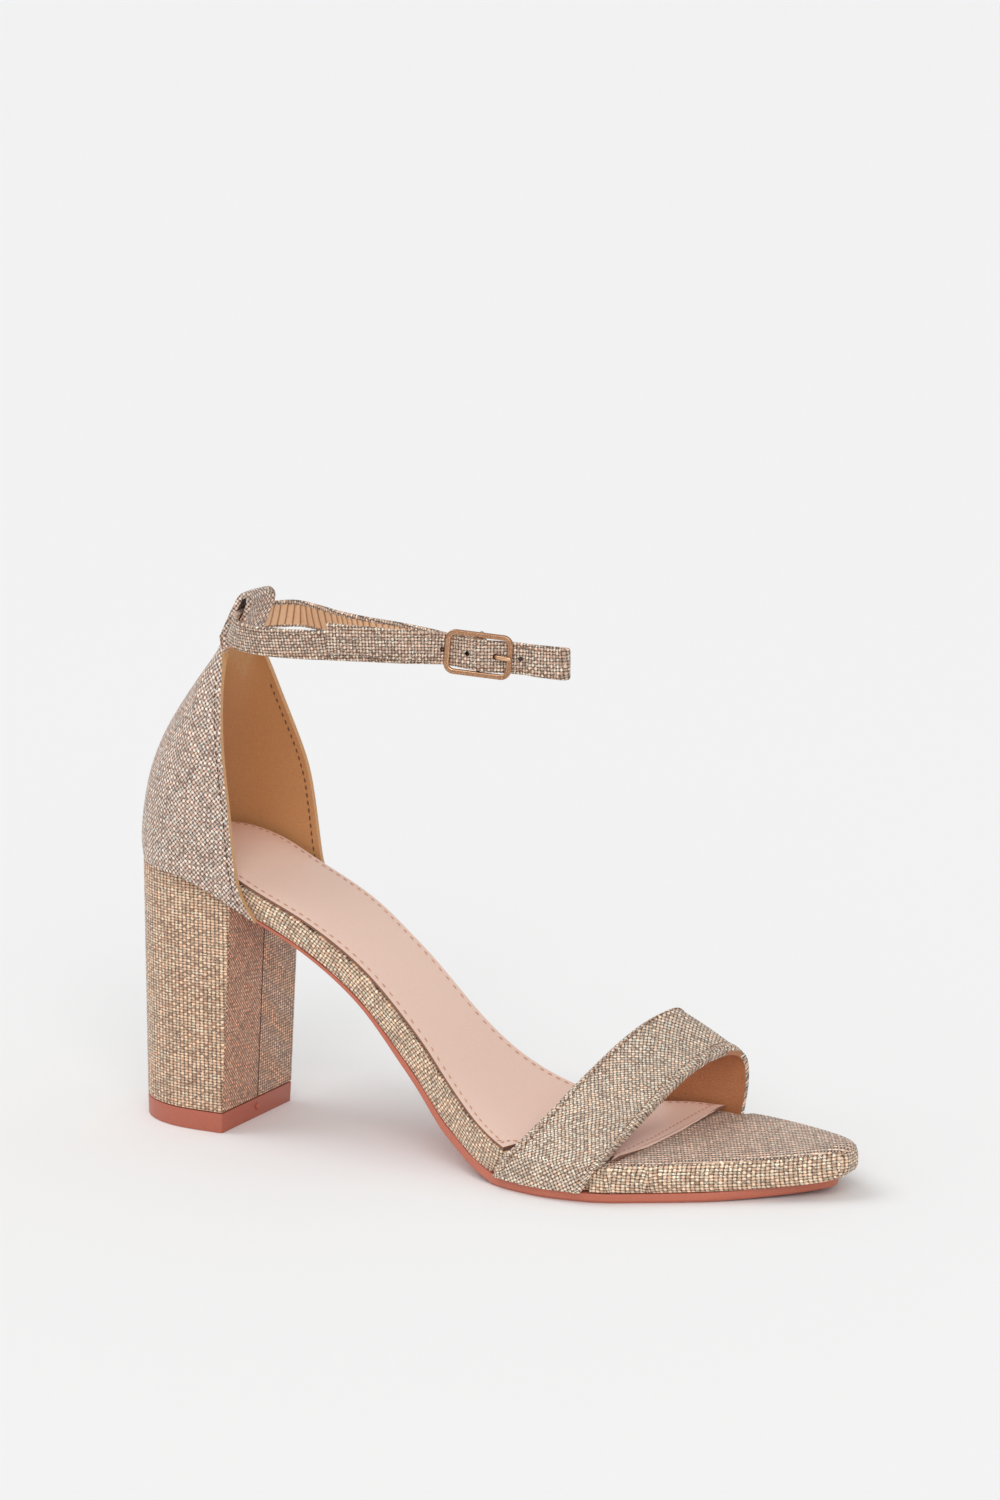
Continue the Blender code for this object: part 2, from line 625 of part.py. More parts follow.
def build_heel():
    tip_share = TIP_THICKNESS / heel_seat(TIP_FRONT)
    build_heel_piece("heel_tip", 0.0, tip_share, tip_floor, tip_top, "sole", TIP_FOOT_DRAFT)
    build_heel_piece("heel_block", tip_share, 1.0, block_foot, heel_seat, "fabric")


def counter_base():
    return board_bottom(0.0)


def counter_point(row, place):
    """Outer face of the back quarter. place runs from -1 at the lateral front edge to 1 at the medial one."""
    values = dict(zip(COUNTER.columns, COUNTER.rows[row]))
    back = COUNTER_BACK + COUNTER_REACH * values["back"]
    front = COUNTER_BACK + COUNTER_REACH * (values["lateral"] if place < 0 else values["medial"])
    half = COUNTER_HALF_WIDTH * values["half"]
    depth = front - back
    round_depth = min(COUNTER_ROUND * half, depth * 0.92)
    side = abs(place)
    if side > 1.0 - COUNTER_STRAIGHT:
        x = front - (depth - round_depth) * (1.0 - side) / COUNTER_STRAIGHT
        y = half
    else:
        angle = math.pi / 2 * side / (1.0 - COUNTER_STRAIGHT)
        x = back + round_depth * (1.0 - math.cos(angle) ** COUNTER_FULLNESS)
        y = half * math.sin(angle) ** COUNTER_FULLNESS
    low = counter_base() + COUNTER_RISE * values["up_back"]
    high = counter_base() + COUNTER_RISE * values["up_front"]
    z = low + (high - low) * (x - back) / depth
    if row == 0:
        z = board_bottom(sole_share(max(x, SEAT_BACK)))
    return (x, math.copysign(y, place), z)


def loop_axes():
    """Directions up along the tongue and forward across it."""
    up = Vector((math.sin(LOOP_LEAN), 0.0, math.cos(LOOP_LEAN)))
    ahead = Vector((math.cos(LOOP_LEAN), 0.0, -math.sin(LOOP_LEAN)))
    return up, ahead


def loop_root():
    """Outer face of the tongue at its root, on the middle line."""
    row = COUNTER.rows[-1]
    x = COUNTER_BACK + COUNTER_REACH * row[3] - LOOP_SET_BACK
    return Vector((x, 0.0, counter_base() + COUNTER_RISE))


def loop_bow(y):
    """How far the tongue and the strap inside it bend forward beside the middle line."""
    return y * y / (2 * LOOP_BEND_RADIUS)


def loop_height():
    """Root of the tongue to the outside of its crown."""
    return LOOP_ROOT_GAP + STRAP_WIDTH + LOOP_HEADROOM + COUNTER_WALL


def loop_depth():
    """Outer face to outer face of the folded tongue."""
    return 2 * COUNTER_WALL + STRAP_THICKNESS + 2 * LOOP_SLACK


def build_counter():
    """Back quarter, its tongue folded forward over the ankle strap and down inside it."""
    up, ahead = loop_axes()
    columns = 18
    rings = []
    for row in range(len(COUNTER.rows)):
        ring = []
        for i in range(columns + 1):
            ring.append(counter_point(row, 2 * i / columns - 1))
        rings.append(ring)
    for row, along, forward in TONGUE.rows:
        ring = []
        for i in range(columns + 1):
            place = loop_root() + up * loop_height() * along + ahead * loop_depth() * forward
            y = LOOP_WIDTH / 2 * (2 * i / columns - 1)
            ring.append((place.x + loop_bow(y), y, place.z))
        rings.append(ring)
    data = loft(rings, closed=False, caps=False)
    counter = add_object("heel_counter", data, "fabric", 50.0)
    add_modifier(counter, "SOLIDIFY", thickness=COUNTER_WALL, offset=-1.0, use_even_offset=True)
    return counter


def toe_strap_point(row, edge):
    """Outer face of the forefoot strap. row may lie between two rows. edge: 0 at its back, 1 at its front."""
    back = TOE_STRAP_BACK_LATERAL
    back += (TOE_STRAP_BACK_MEDIAL - TOE_STRAP_BACK_LATERAL) * TOE_STRAP.at("back", row)
    front = TOE_STRAP_FRONT_LATERAL
    front += (TOE_STRAP_FRONT_MEDIAL - TOE_STRAP_FRONT_LATERAL) * TOE_STRAP.at("front", row)
    share = back + (front - back) * edge - slant_share() * TOE_STRAP.at("slant", row)
    lateral = plan_edge(share, "lateral") - TOE_STRAP_PROUD
    medial = plan_edge(share, "medial") + TOE_STRAP_PROUD
    y = lateral + (medial - lateral) * TOE_STRAP.at("across", row)
    up_back = TOE_STRAP.at("up_back", row)
    up = up_back + (TOE_STRAP.at("up_front", row) - up_back) * edge
    foot = outsole_top(share) + CLEARANCE
    z = foot + (sock_top(share) - foot) * TOE_STRAP.at("level", row) + TOE_STRAP_RISE * up
    return (sole_x(share), y, z)


def build_toe_strap():
    """Wide band over the forefoot, both feet outside the rand and down on the outsole's edge."""
    columns = (0.0, 0.34, 0.67, 1.0)
    last = len(TOE_STRAP.rows) - 1
    steps = 2 * last
    rings = []
    for i in range(steps + 1):
        rings.append([toe_strap_point(last * i / steps, edge) for edge in columns])
    data = loft(rings, closed=False, caps=False)
    strap = add_object("toe_strap", data, "fabric", 50.0)
    add_modifier(strap, "SOLIDIFY", thickness=TOE_STRAP_WALL, offset=-1.0, use_even_offset=True)
    return strap


def strap_origin():
    """Middle of the ankle strap inside the loop."""
    up, ahead = loop_axes()
    inside = COUNTER_WALL + LOOP_SLACK + STRAP_THICKNESS / 2
    return loop_root() + up * (LOOP_ROOT_GAP + STRAP_WIDTH / 2) + ahead * inside


def strap_place(values):
    origin = strap_origin()
    return Vector((
        origin.x + ANKLE_REACH * values["along"],
        ANKLE_HALF_SPAN * values["across"],
        origin.z + STRAP_WIDTH * values["up"],
    ))


def buckle_axes():
    """Along the buckle, out of its face, and down its width."""
    along = Vector((
        math.cos(BUCKLE_HEADING) * math.cos(BUCKLE_DROOP),
        math.sin(BUCKLE_HEADING) * math.cos(BUCKLE_DROOP),
        -math.sin(BUCKLE_DROOP),
    ))
    out = Vector((math.sin(BUCKLE_HEADING), -math.cos(BUCKLE_HEADING), 0.0))
    return along, out, along.cross(out)


def bar_centre():
    origin = strap_origin()
    along, across, up = BAR_PLACE
    return Vector((
        origin.x + ANKLE_REACH * along,
        ANKLE_HALF_SPAN * across,
        origin.z + STRAP_WIDTH * up,
    ))


def buckle_point(along_shift, out_shift, down_shift=0.0):
    along, out, down = buckle_axes()
    return bar_centre() + along * along_shift + out * out_shift + down * down_shift


def smooth_route(points, pieces):
    """Points along a curve through the given ones. Each item is (place, up direction, thickness)."""
    route = []
    for i in range(len(points) - 1):
        before = points[max(i - 1, 0)]
        after = points[min(i + 2, len(points) - 1)]
        a, b = points[i], points[i + 1]
        for k in range(pieces):
            t = k / pieces
            place = []
            for axis in range(3):
                p0, p1, p2, p3 = before[0][axis], a[0][axis], b[0][axis], after[0][axis]
                place.append(0.5 * (2 * p1 + (p2 - p0) * t + (2 * p0 - 5 * p1 + 4 * p2 - p3) * t**2
                                    + (3 * p1 - p0 - 3 * p2 + p3) * t**3))
            thick = a[2] + (b[2] - a[2]) * t
            route.append((Vector(place), a[1].lerp(b[1], t), thick))
    route.append(points[-1])
    return route


def ankle_strap_route():
    """Middle line of the whole band, from its skived end behind the bar to its free end."""
    full, thin = STRAP_THICKNESS, SKIVED_THICKNESS
    turn = BAR_RADIUS + CLEARANCE + thin / 2
    square = -buckle_axes()[2]      # upright, as in the rest of the band, so that no section turns over
    start = [
        (buckle_point(-0.0062, -turn - 0.0010), square, thin),
        (buckle_point(-0.0030, -turn - 0.0004), square, thin),
    ]
    for degrees in (-90, -55, -20, 15, 50, 80):
        angle = math.radians(degrees)
        start.append((buckle_point(turn * math.cos(angle), turn * math.sin(angle)), square, thin))
    start.append((buckle_point(-0.0020, turn - 0.0004), square, thin))
    start.append((buckle_point(-0.0050, 0.0), square, (full + thin) / 2))
    start.append((buckle_point(-0.0085, -0.0012), square, full))

    def rows(table):
        picked = []
        for row in table.rows:
            values = dict(zip(table.columns, row))
            lean = LOOP_LEAN * values["lean"]
            roll = STRAP_ROLL * values["roll"]
            upward = Vector((math.sin(lean), -math.sin(roll), math.cos(lean) * math.cos(roll)))
            picked.append((strap_place(values), upward, full))
        return picked

    run = rows(STRAP_RUN)
    tip = rows(STRAP_TIP)
    fold_middle = (run[-1][0] + tip[0][0]) / 2
    fold = []
    for degrees in (60, 25, -10, -45, -75):
        angle = math.radians(degrees)
        shift = Vector((math.cos(angle), math.sin(angle), 0.0)) * FOLD_RADIUS
        fold.append((fold_middle + Vector((FOLD_RADIUS, 0.0, 0.0)) + shift, Vector((0.0, 0.0, 1.0)), full))
    over = turn + thin / 2 + CLEARANCE + full / 2
    under = BAR_SET_BACK - BUCKLE_DEPTH / 2 - CLEARANCE - full / 2
    reach = BUCKLE_LENGTH / 2
    through = [
        (buckle_point(reach + 0.0030, under - 0.0002), square, full),
        (buckle_point(reach - 0.0008, under), square, full),
        (buckle_point(reach * PRONG_HOLE, (over + under) / 2), square, full),
        (buckle_point(0.0, over), square, full),
        (buckle_point(-reach * PRONG_HOLE, (over + under) / 2), square, full),
        (buckle_point(-reach + 0.0008, under), square, full),
    ]
    route = smooth_route(start + run, 3)[:-1]
    route += smooth_route([run[-1]] + fold + tip + through + rows(STRAP_FREE_END), 3)
    return route


def band_rings(route, width):
    """Flat band sections along a route, with softened edges."""
    rings = []
    for i, (place, upward, thick) in enumerate(route):
        ahead = (route[min(i + 1, len(route) - 1)][0] - route[max(i - 1, 0)][0]).normalized()
        up = (upward - ahead * upward.dot(ahead)).normalized()
        out = ahead.cross(up).normalized()
        half, deep = width / 2, thick / 2
        soft = deep * 0.5
        section = (
            (half - soft, deep), (half, 0.0), (half - soft, -deep),
            (-half + soft, -deep), (-half, 0.0), (-half + soft, deep),
        )
        rings.append([place + up * a + out * b for a, b in section])
    return rings


def add_cutter(name, data):
    cutter = add_object(name, data, "metal")
    cutter.hide_render = True
    cutter.display_type = "WIRE"
    return cutter


def round_bar(start, end, radius, sides):
    """A closed prism with round sides between two points."""
    axis = (end - start).normalized()
    first = axis.orthogonal().normalized()
    second = axis.cross(first)
    rings = []
    for centre in (start, end):
        ring = []
        for i in range(sides):
            angle = 2 * math.pi * i / sides
            ring.append(centre + first * radius * math.cos(angle) + second * radius * math.sin(angle))
        rings.append(ring)
    return loft(rings)


def tube(path, radius_out, radius_up):
    """A closed tube along a path beside the buckle, with an oval section."""
    sides = 8
    up = buckle_axes()[2]
    rings = []
    for i, place in enumerate(path):
        ahead = (path[min(i + 1, len(path) - 1)] - path[max(i - 1, 0)]).normalized()
        normal = ahead.cross(up).normalized()
        ring = []
        for k in range(sides):
            angle = 2 * math.pi * k / sides
            ring.append(place + normal * radius_out * math.cos(angle) + up * radius_up * math.sin(angle))
        rings.append(ring)
    return loft(rings)


def prong_path():
    """From an open eye round the bar, under the strap, up through its hole and on to the frame's rim."""
    eye = BAR_RADIUS + CLEARANCE + PRONG_THICKNESS / 2
    path = []
    for degrees in (250, 215, 180, 145, 110, 75, 40, 8):
        angle = math.radians(degrees)
        path.append(buckle_point(eye * math.cos(angle), eye * math.sin(angle)))
    reach = BUCKLE_LENGTH / 2
    rest = BAR_SET_BACK + BUCKLE_DEPTH / 2 + CLEARANCE + PRONG_THICKNESS / 2
    path.append(buckle_point(reach * 0.30, 0.0))
    path.append(buckle_point(reach * PRONG_HOLE, rest * 0.42))
    path.append(buckle_point(reach * 0.60, rest * 0.86))
    path.append(buckle_point(reach - BUCKLE_WIRE * 1.1, rest))
    path.append(buckle_point(reach - BUCKLE_WIRE * 0.1, rest))
    return path


def build_ankle_strap():
    """One band: from the buckle's bar round the heel, folded in front, and back through the buckle."""
    strap = add_object("ankle_strap", loft(band_rings(ankle_strap_route(), STRAP_WIDTH)), "fabric", 50.0)
    reach = BUCKLE_LENGTH / 2
    cutters = []
    for number in (-2, -1, 1):
        shift = reach * PRONG_HOLE + number * HOLE_PITCH
        low, high = (-0.0006, 0.0060) if number == -2 else (0.0004, 0.0060)
        data = round_bar(buckle_point(shift, low), buckle_point(shift, high), HOLE_RADIUS, 8)
        cutters.append(add_cutter("hole_cutter_%d" % (number + 3), data))
    wrap = BAR_RADIUS + CLEARANCE + SKIVED_THICKNESS + CLEARANCE * 0.8
    half_slot = PRONG_WIDTH / 2 + CLEARANCE
    data = round_bar(buckle_point(0.0, 0.0, -half_slot), buckle_point(0.0, 0.0, half_slot), wrap, 16)
    cutters.append(add_cutter("slot_cutter", data))
    tunnel = tube(prong_path()[7:], PRONG_THICKNESS / 2 + CLEARANCE, half_slot)
    cutters.append(add_cutter("prong_hole_cutter", tunnel))
    for cutter in cutters:
        add_modifier(strap, "BOOLEAN", operation="DIFFERENCE", object=cutter, solver="EXACT")
    return strap


def build_buckle():
    """Rounded rectangular frame, its bar carried by two short lugs behind it."""
    inner_half = STRAP_WIDTH / 2 + BUCKLE_SLACK
    outer_half = inner_half + BUCKLE_WIRE
    reach = BUCKLE_LENGTH / 2
    rings = []
    section = ((0.0, -0.5), (0.15, 0.3), (0.5, 0.5), (0.85, 0.3), (1.0, -0.5))
    for share, depth in section:
        ring = []
        inset = BUCKLE_WIRE * share
        corner = max(BUCKLE_CORNER - inset, 0.0008)
        for quarter in range(4):
            sign_along = 1 if quarter in (0, 3) else -1
            sign_up = 1 if quarter in (0, 1) else -1
            for step in range(5):
                angle = math.pi / 2 * (quarter + step / 4)
                a = sign_along * (reach - inset - corner) + corner * math.cos(angle)
                u = sign_up * (outer_half - inset - corner) + corner * math.sin(angle)
                ring.append(buckle_point(a, BAR_SET_BACK + BUCKLE_DEPTH * depth, u))
        rings.append(ring)
    data = loft(rings, caps=False)
    data.verts.ensure_lookup_table()
    count = len(rings[0])
    last = count * (len(rings) - 1)
    for i in range(count):
        k = (i + 1) % count
        data.faces.new((data.verts[last + i], data.verts[last + k], data.verts[k], data.verts[i]))
    frame = add_object("buckle_frame", data, "metal")
    rail = inner_half + BUCKLE_WIRE / 2
    bar_data = round_bar(buckle_point(0, 0, -rail), buckle_point(0, 0, rail), BAR_RADIUS, 12)
    bar = add_cutter("bar_joiner", bar_data)
    add_modifier(frame, "BOOLEAN", operation="UNION", object=bar, solver="EXACT")
    for side in (-1, 1):
        foot = buckle_point(0.0, -BAR_RADIUS * 0.9, side * (inner_half + BUCKLE_WIRE * 0.52))
        head = buckle_point(0.0, BAR_SET_BACK, side * (inner_half + BUCKLE_WIRE * 0.52))
        lug = add_cutter("lug_joiner_%d" % (side + 2), round_bar(foot, head, BUCKLE_WIRE * 0.42, 8))
        add_modifier(frame, "BOOLEAN", operation="UNION", object=lug, solver="EXACT")
    return frame


def build_prong():
    return add_object("buckle_prong", tube(prong_path(), PRONG_THICKNESS / 2, PRONG_WIDTH / 2), "metal")


def build_all():
    build_outsole()
    build_midsole()
    build_sock()
    build_heel()
    build_counter()
    build_toe_strap()
    build_ankle_strap()
    build_buckle()
    build_prong()


build_all()
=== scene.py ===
"""Heeled sandal for the right foot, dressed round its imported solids.

Metres, +Z up. X runs from the heel to the toe and +Y to the inner side of the foot. Pattern sizes, and the
pattern places that the pieces carry, are in millimetres.
"""
import math

import bmesh
import bpy
from mathutils import Matrix, Vector
from mathutils.bvhtree import BVHTree
from mathutils.kdtree import KDTree


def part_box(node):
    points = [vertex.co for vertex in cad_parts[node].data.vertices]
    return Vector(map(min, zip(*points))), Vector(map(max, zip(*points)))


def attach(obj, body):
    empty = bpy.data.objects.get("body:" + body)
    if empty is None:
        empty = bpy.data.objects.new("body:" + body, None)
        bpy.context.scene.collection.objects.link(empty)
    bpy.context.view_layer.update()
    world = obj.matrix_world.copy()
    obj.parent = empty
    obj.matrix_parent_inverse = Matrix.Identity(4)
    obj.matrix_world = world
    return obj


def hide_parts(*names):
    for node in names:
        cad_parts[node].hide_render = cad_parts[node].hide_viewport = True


MM = 0.001

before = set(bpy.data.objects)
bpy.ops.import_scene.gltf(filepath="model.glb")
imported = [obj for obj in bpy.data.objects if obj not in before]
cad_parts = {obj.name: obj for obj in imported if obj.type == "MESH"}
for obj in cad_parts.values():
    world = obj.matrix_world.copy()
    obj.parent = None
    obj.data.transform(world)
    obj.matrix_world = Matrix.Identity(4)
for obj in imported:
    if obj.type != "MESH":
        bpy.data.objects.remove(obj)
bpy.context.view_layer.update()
scene = bpy.context.scene


# Handling of pieces

def drop_selection():
    """Leaves edit mode and selects nothing."""
    if bpy.context.object and bpy.context.object.mode != "OBJECT":
        bpy.ops.object.mode_set(mode="OBJECT")
    bpy.ops.object.select_all(action="DESELECT")


def pick(piece):
    """Makes a piece the only selected and the active one."""
    drop_selection()
    bpy.context.view_layer.objects.active = piece
    piece.select_set(True)
    return piece


def named(name):
    """Names the piece that an operator has just added."""
    piece = bpy.context.object
    piece.name = name
    piece.data.name = name
    return piece


def settle(piece):
    """Puts a piece's place, turn and size into its mesh."""
    pick(piece)
    bpy.ops.object.transform_apply(location=True, rotation=True, scale=True)
    return piece


def select_faces(piece, wanted):
    """Selects, in edit mode, the faces whose middle and normal pass the test."""
    bpy.ops.mesh.select_mode(type="FACE")
    bpy.ops.mesh.select_all(action="DESELECT")
    data = bmesh.from_edit_mesh(piece.data)
    for face in data.faces:
        face.select_set(wanted(face.calc_center_median(), face.normal))
    data.select_flush_mode()
    bmesh.update_edit_mesh(piece.data)


def select_edges(piece, wanted):
    """Selects, in edit mode, the edges whose two ends pass the test."""
    bpy.ops.mesh.select_mode(type="EDGE")
    bpy.ops.mesh.select_all(action="DESELECT")
    data = bmesh.from_edit_mesh(piece.data)
    for edge in data.edges:
        edge.select_set(wanted(edge.verts[0].co, edge.verts[1].co))
    bmesh.update_edit_mesh(piece.data)


def use_modifier(piece, kind, **settings):
    """Adds a modifier and applies it."""
    pick(piece)
    modifier = piece.modifiers.new(kind.title(), kind)
    for name, value in settings.items():
        setattr(modifier, name, value)
    bpy.ops.object.modifier_apply(modifier=modifier.name)


def smooth_under(degrees):
    """Smooths the picked piece wherever its faces meet at less than that angle."""
    bpy.ops.object.shade_smooth_by_angle(angle=math.radians(degrees))


def soften(piece, edge, levels, angle, segments=2):
    """Rounds a piece's edges by that radius, then smooths it."""
    use_modifier(piece, "BEVEL", width=edge, segments=segments, limit_method="ANGLE",
                 angle_limit=math.radians(angle), use_clamp_overlap=True)
    if levels:
        use_modifier(piece, "SUBSURF", levels=levels, render_levels=levels)
    pick(piece)
    bpy.ops.object.shade_smooth()


def new_piece(name, points, faces):
    """A piece made of points and faces that were worked out here."""
    mesh = bpy.data.meshes.new(name)
    mesh.from_pydata(points, [], faces)
    piece = bpy.data.objects.new(name, mesh)
    scene.collection.objects.link(piece)
    return piece


def tube_faces(rings, size):
    """Faces between rings of that many points: the sides ring by ring, then both ends."""
    faces = []
    last = (rings - 1) * size
    for first in range(0, last, size):
        for here in range(size):
            beside = (here + 1) % size
            faces.append((first + here, first + beside, first + size + beside, first + size + here))
    return faces + [tuple(range(size)), tuple(range(last, last + size))[::-1]]


def turn_outward(piece):
    """Makes all faces look out of the piece."""
    pick(piece)
    bpy.ops.object.mode_set(mode="EDIT")
    bpy.ops.mesh.select_all(action="SELECT")
    bpy.ops.mesh.normals_make_consistent(inside=False)
    bpy.ops.object.mode_set(mode="OBJECT")


def copy_of(node, name):
    """A copy of a solid as one joined skin of mostly four-sided faces."""
    piece = bpy.data.objects.new(name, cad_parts[node].data.copy())
    scene.collection.objects.link(piece)
    pick(piece)
    bpy.ops.mesh.customdata_custom_splitnormals_clear()
    bpy.ops.object.mode_set(mode="EDIT")
    bpy.ops.mesh.select_all(action="SELECT")
    bpy.ops.mesh.remove_doubles(threshold=0.01 * MM)
    bpy.ops.mesh.tris_convert_to_quads(face_threshold=math.radians(40), shape_threshold=math.radians(60))
    bpy.ops.object.mode_set(mode="OBJECT")
    piece.data.materials.clear()
    return piece


def dress(piece, slot, *materials):
    """Gives a piece its finishes and its body. The slot argument is not used."""
    for material in materials:
        piece.data.materials.append(material)
    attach(piece, "root")


def paint(piece, number, wanted):
    """Gives the finish of that number to the faces whose middle and normal pass the test."""
    for face in piece.data.polygons:
        if wanted(face.center, face.normal):
            face.material_index = number


def lay_cloth(piece, chart):
    """Writes where each point lies on the cloth, in millimetres, by its place and its face's normal."""
    layer = piece.data.uv_layers.get("cloth") or piece.data.uv_layers.new(name="cloth")
    piece.data.uv_layers.active = layer
    for face in piece.data.polygons:
        for corner in face.loop_indices:
            point = piece.data.vertices[piece.data.loops[corner].vertex_index].co
            layer.data[corner].uv = chart(point, face.normal)


def lay_listed_cloth(piece, places):
    """Writes where each point lies on the cloth, from a list in the order of the piece's points."""
    layer = piece.data.uv_layers.new(name="cloth")
    for face in piece.data.polygons:
        for corner in face.loop_indices:
            layer.data[corner].uv = places[piece.data.loops[corner].vertex_index]


CREASE_OVERRUN = 0.15               # how far a crease runs on past each end, as a share of its length
CREASE_REACH = 2.5                  # how far it is felt beside its line, in its widths
CREASE_FACING = 0.2                 # a point moves only if its normal leans this much to the creased side


def crease(piece, start, end, width, depth, facing):
    """Presses a soft trough along a line, or raises a ridge if depth is negative. It fades at its ends."""
    start, end, facing = Vector(start), Vector(end), Vector(facing)
    run = end - start
    for vert in piece.data.vertices:
        share = (vert.co - start).dot(run) / run.length_squared
        if not -CREASE_OVERRUN < share < 1 + CREASE_OVERRUN or vert.normal.dot(facing) < CREASE_FACING:
            continue
        away = (vert.co - start - run * share).length / width
        if away < CREASE_REACH:
            fade = max(math.sin(math.pi * (share + CREASE_OVERRUN) / (1 + 2 * CREASE_OVERRUN)), 0.0)
            vert.co -= vert.normal * depth * fade * math.exp(-away * away)


# Node wiring

class Wiring:
    """Short words for laying out nodes in one tree."""

    def __init__(self, tree):
        self.tree = tree

    def add(self, kind, **settings):
        node = self.tree.nodes.new(kind)
        for name, value in settings.items():
            setattr(node, name, value)
        return node

    def feed(self, value, socket):
        if hasattr(value, "is_linked"):
            self.tree.links.new(value, socket)
        elif value is not None:
            socket.default_value = value

    def sum(self, operation, first, second=None, third=None):
        node = self.add("ShaderNodeMath", operation=operation)
        for value, socket in zip((first, second, third), node.inputs):
            self.feed(value, socket)
        return node.outputs[0]

    def times(self, first, second):
        return self.sum("MULTIPLY", first, second)

    def plus(self, first, second):
        return self.sum("ADD", first, second)

    def less(self, first, second):
        return self.sum("SUBTRACT", first, second)

    def sine(self, value):
        return self.sum("SINE", value)

    def vector(self, operation, first, second=None, scale=None):
        node = self.add("ShaderNodeVectorMath", operation=operation)
        self.feed(first, node.inputs[0])
        self.feed(second, node.inputs[1])
        self.feed(scale, node.inputs[3])
        return node.outputs["Vector"]

    def mix(self, share, first, second, blend="MIX"):
        node = self.add("ShaderNodeMix", data_type="RGBA", blend_type=blend)
        self.feed(share, node.inputs[0])
        self.feed(first, node.inputs[6])
        self.feed(second, node.inputs[7])
        return node.outputs[2]

    def blend(self, share, first, second):
        """A number between two others."""
        node = self.add("ShaderNodeMix", data_type="FLOAT")
        self.feed(share, node.inputs[0])
        self.feed(first, node.inputs[2])
        self.feed(second, node.inputs[3])
        return node.outputs[0]

    def steps(self, value, low, high, to_low=0.0, to_high=1.0):
        """A number eased from one range to another."""
        node = self.add("ShaderNodeMapRange", interpolation_type="SMOOTHSTEP")
        for given, socket in zip((value, low, high, to_low, to_high), node.inputs):
            self.feed(given, socket)
        return node.outputs[0]

    def cloudy(self, place, scale, detail=2.0, roughness=0.5):
        node = self.add("ShaderNodeTexNoise")
        self.feed(place, node.inputs["Vector"])
        self.feed(scale, node.inputs[3])
        self.feed(detail, node.inputs["Detail"])
        self.feed(roughness, node.inputs["Roughness"])
        return node.outputs["Fac"]

    def chance(self, place):
        """A different number for each whole place."""
        node = self.add("ShaderNodeTexWhiteNoise", noise_dimensions="3D")
        self.feed(place, node.inputs["Vector"])
        return node.outputs["Value"]


def tint(red, green, blue):
    """A colour from its usual numbers up to 255."""
    shares = []
    for part in (red, green, blue):
        share = part / 255
        shares.append(share / 12.92 if share <= 0.04045 else ((share + 0.055) / 1.055) ** 2.4)
    return (*shares, 1.0)


def new_group(name, given, made):
    """A shader node group with named sockets, and the wiring inside it."""
    tree = bpy.data.node_groups.new(name, "ShaderNodeTree")
    for label, kind in given:
        tree.interface.new_socket(name=label, in_out="INPUT", socket_type=kind)
    for label, kind in made:
        tree.interface.new_socket(name=label, in_out="OUTPUT", socket_type=kind)
    wiring = Wiring(tree)
    entry = wiring.add("NodeGroupInput")
    leaving = wiring.add("NodeGroupOutput")
    return tree, wiring, entry.outputs, leaving.inputs


DRIFT_SCALE = 0.16                  # how quickly the yarns wander, per yarn
DRIFT_REACH = 0.9                   # how far they wander, in yarns
CELL_TONES = (0.68, 1.30)           # darkest and lightest crossing
LANE_TONES = (0.86, 1.12)           # darkest and lightest yarn
GLINT_FINENESS = 2.6                # glints across one crossing
HOLLOW_EDGE = (0.20, 0.74)          # height where the hollow's shade ends and where the yarn is bare
# RIB_SHADE: how much painted shade the low parts between ribs get
RIB_SHADE = 0.3


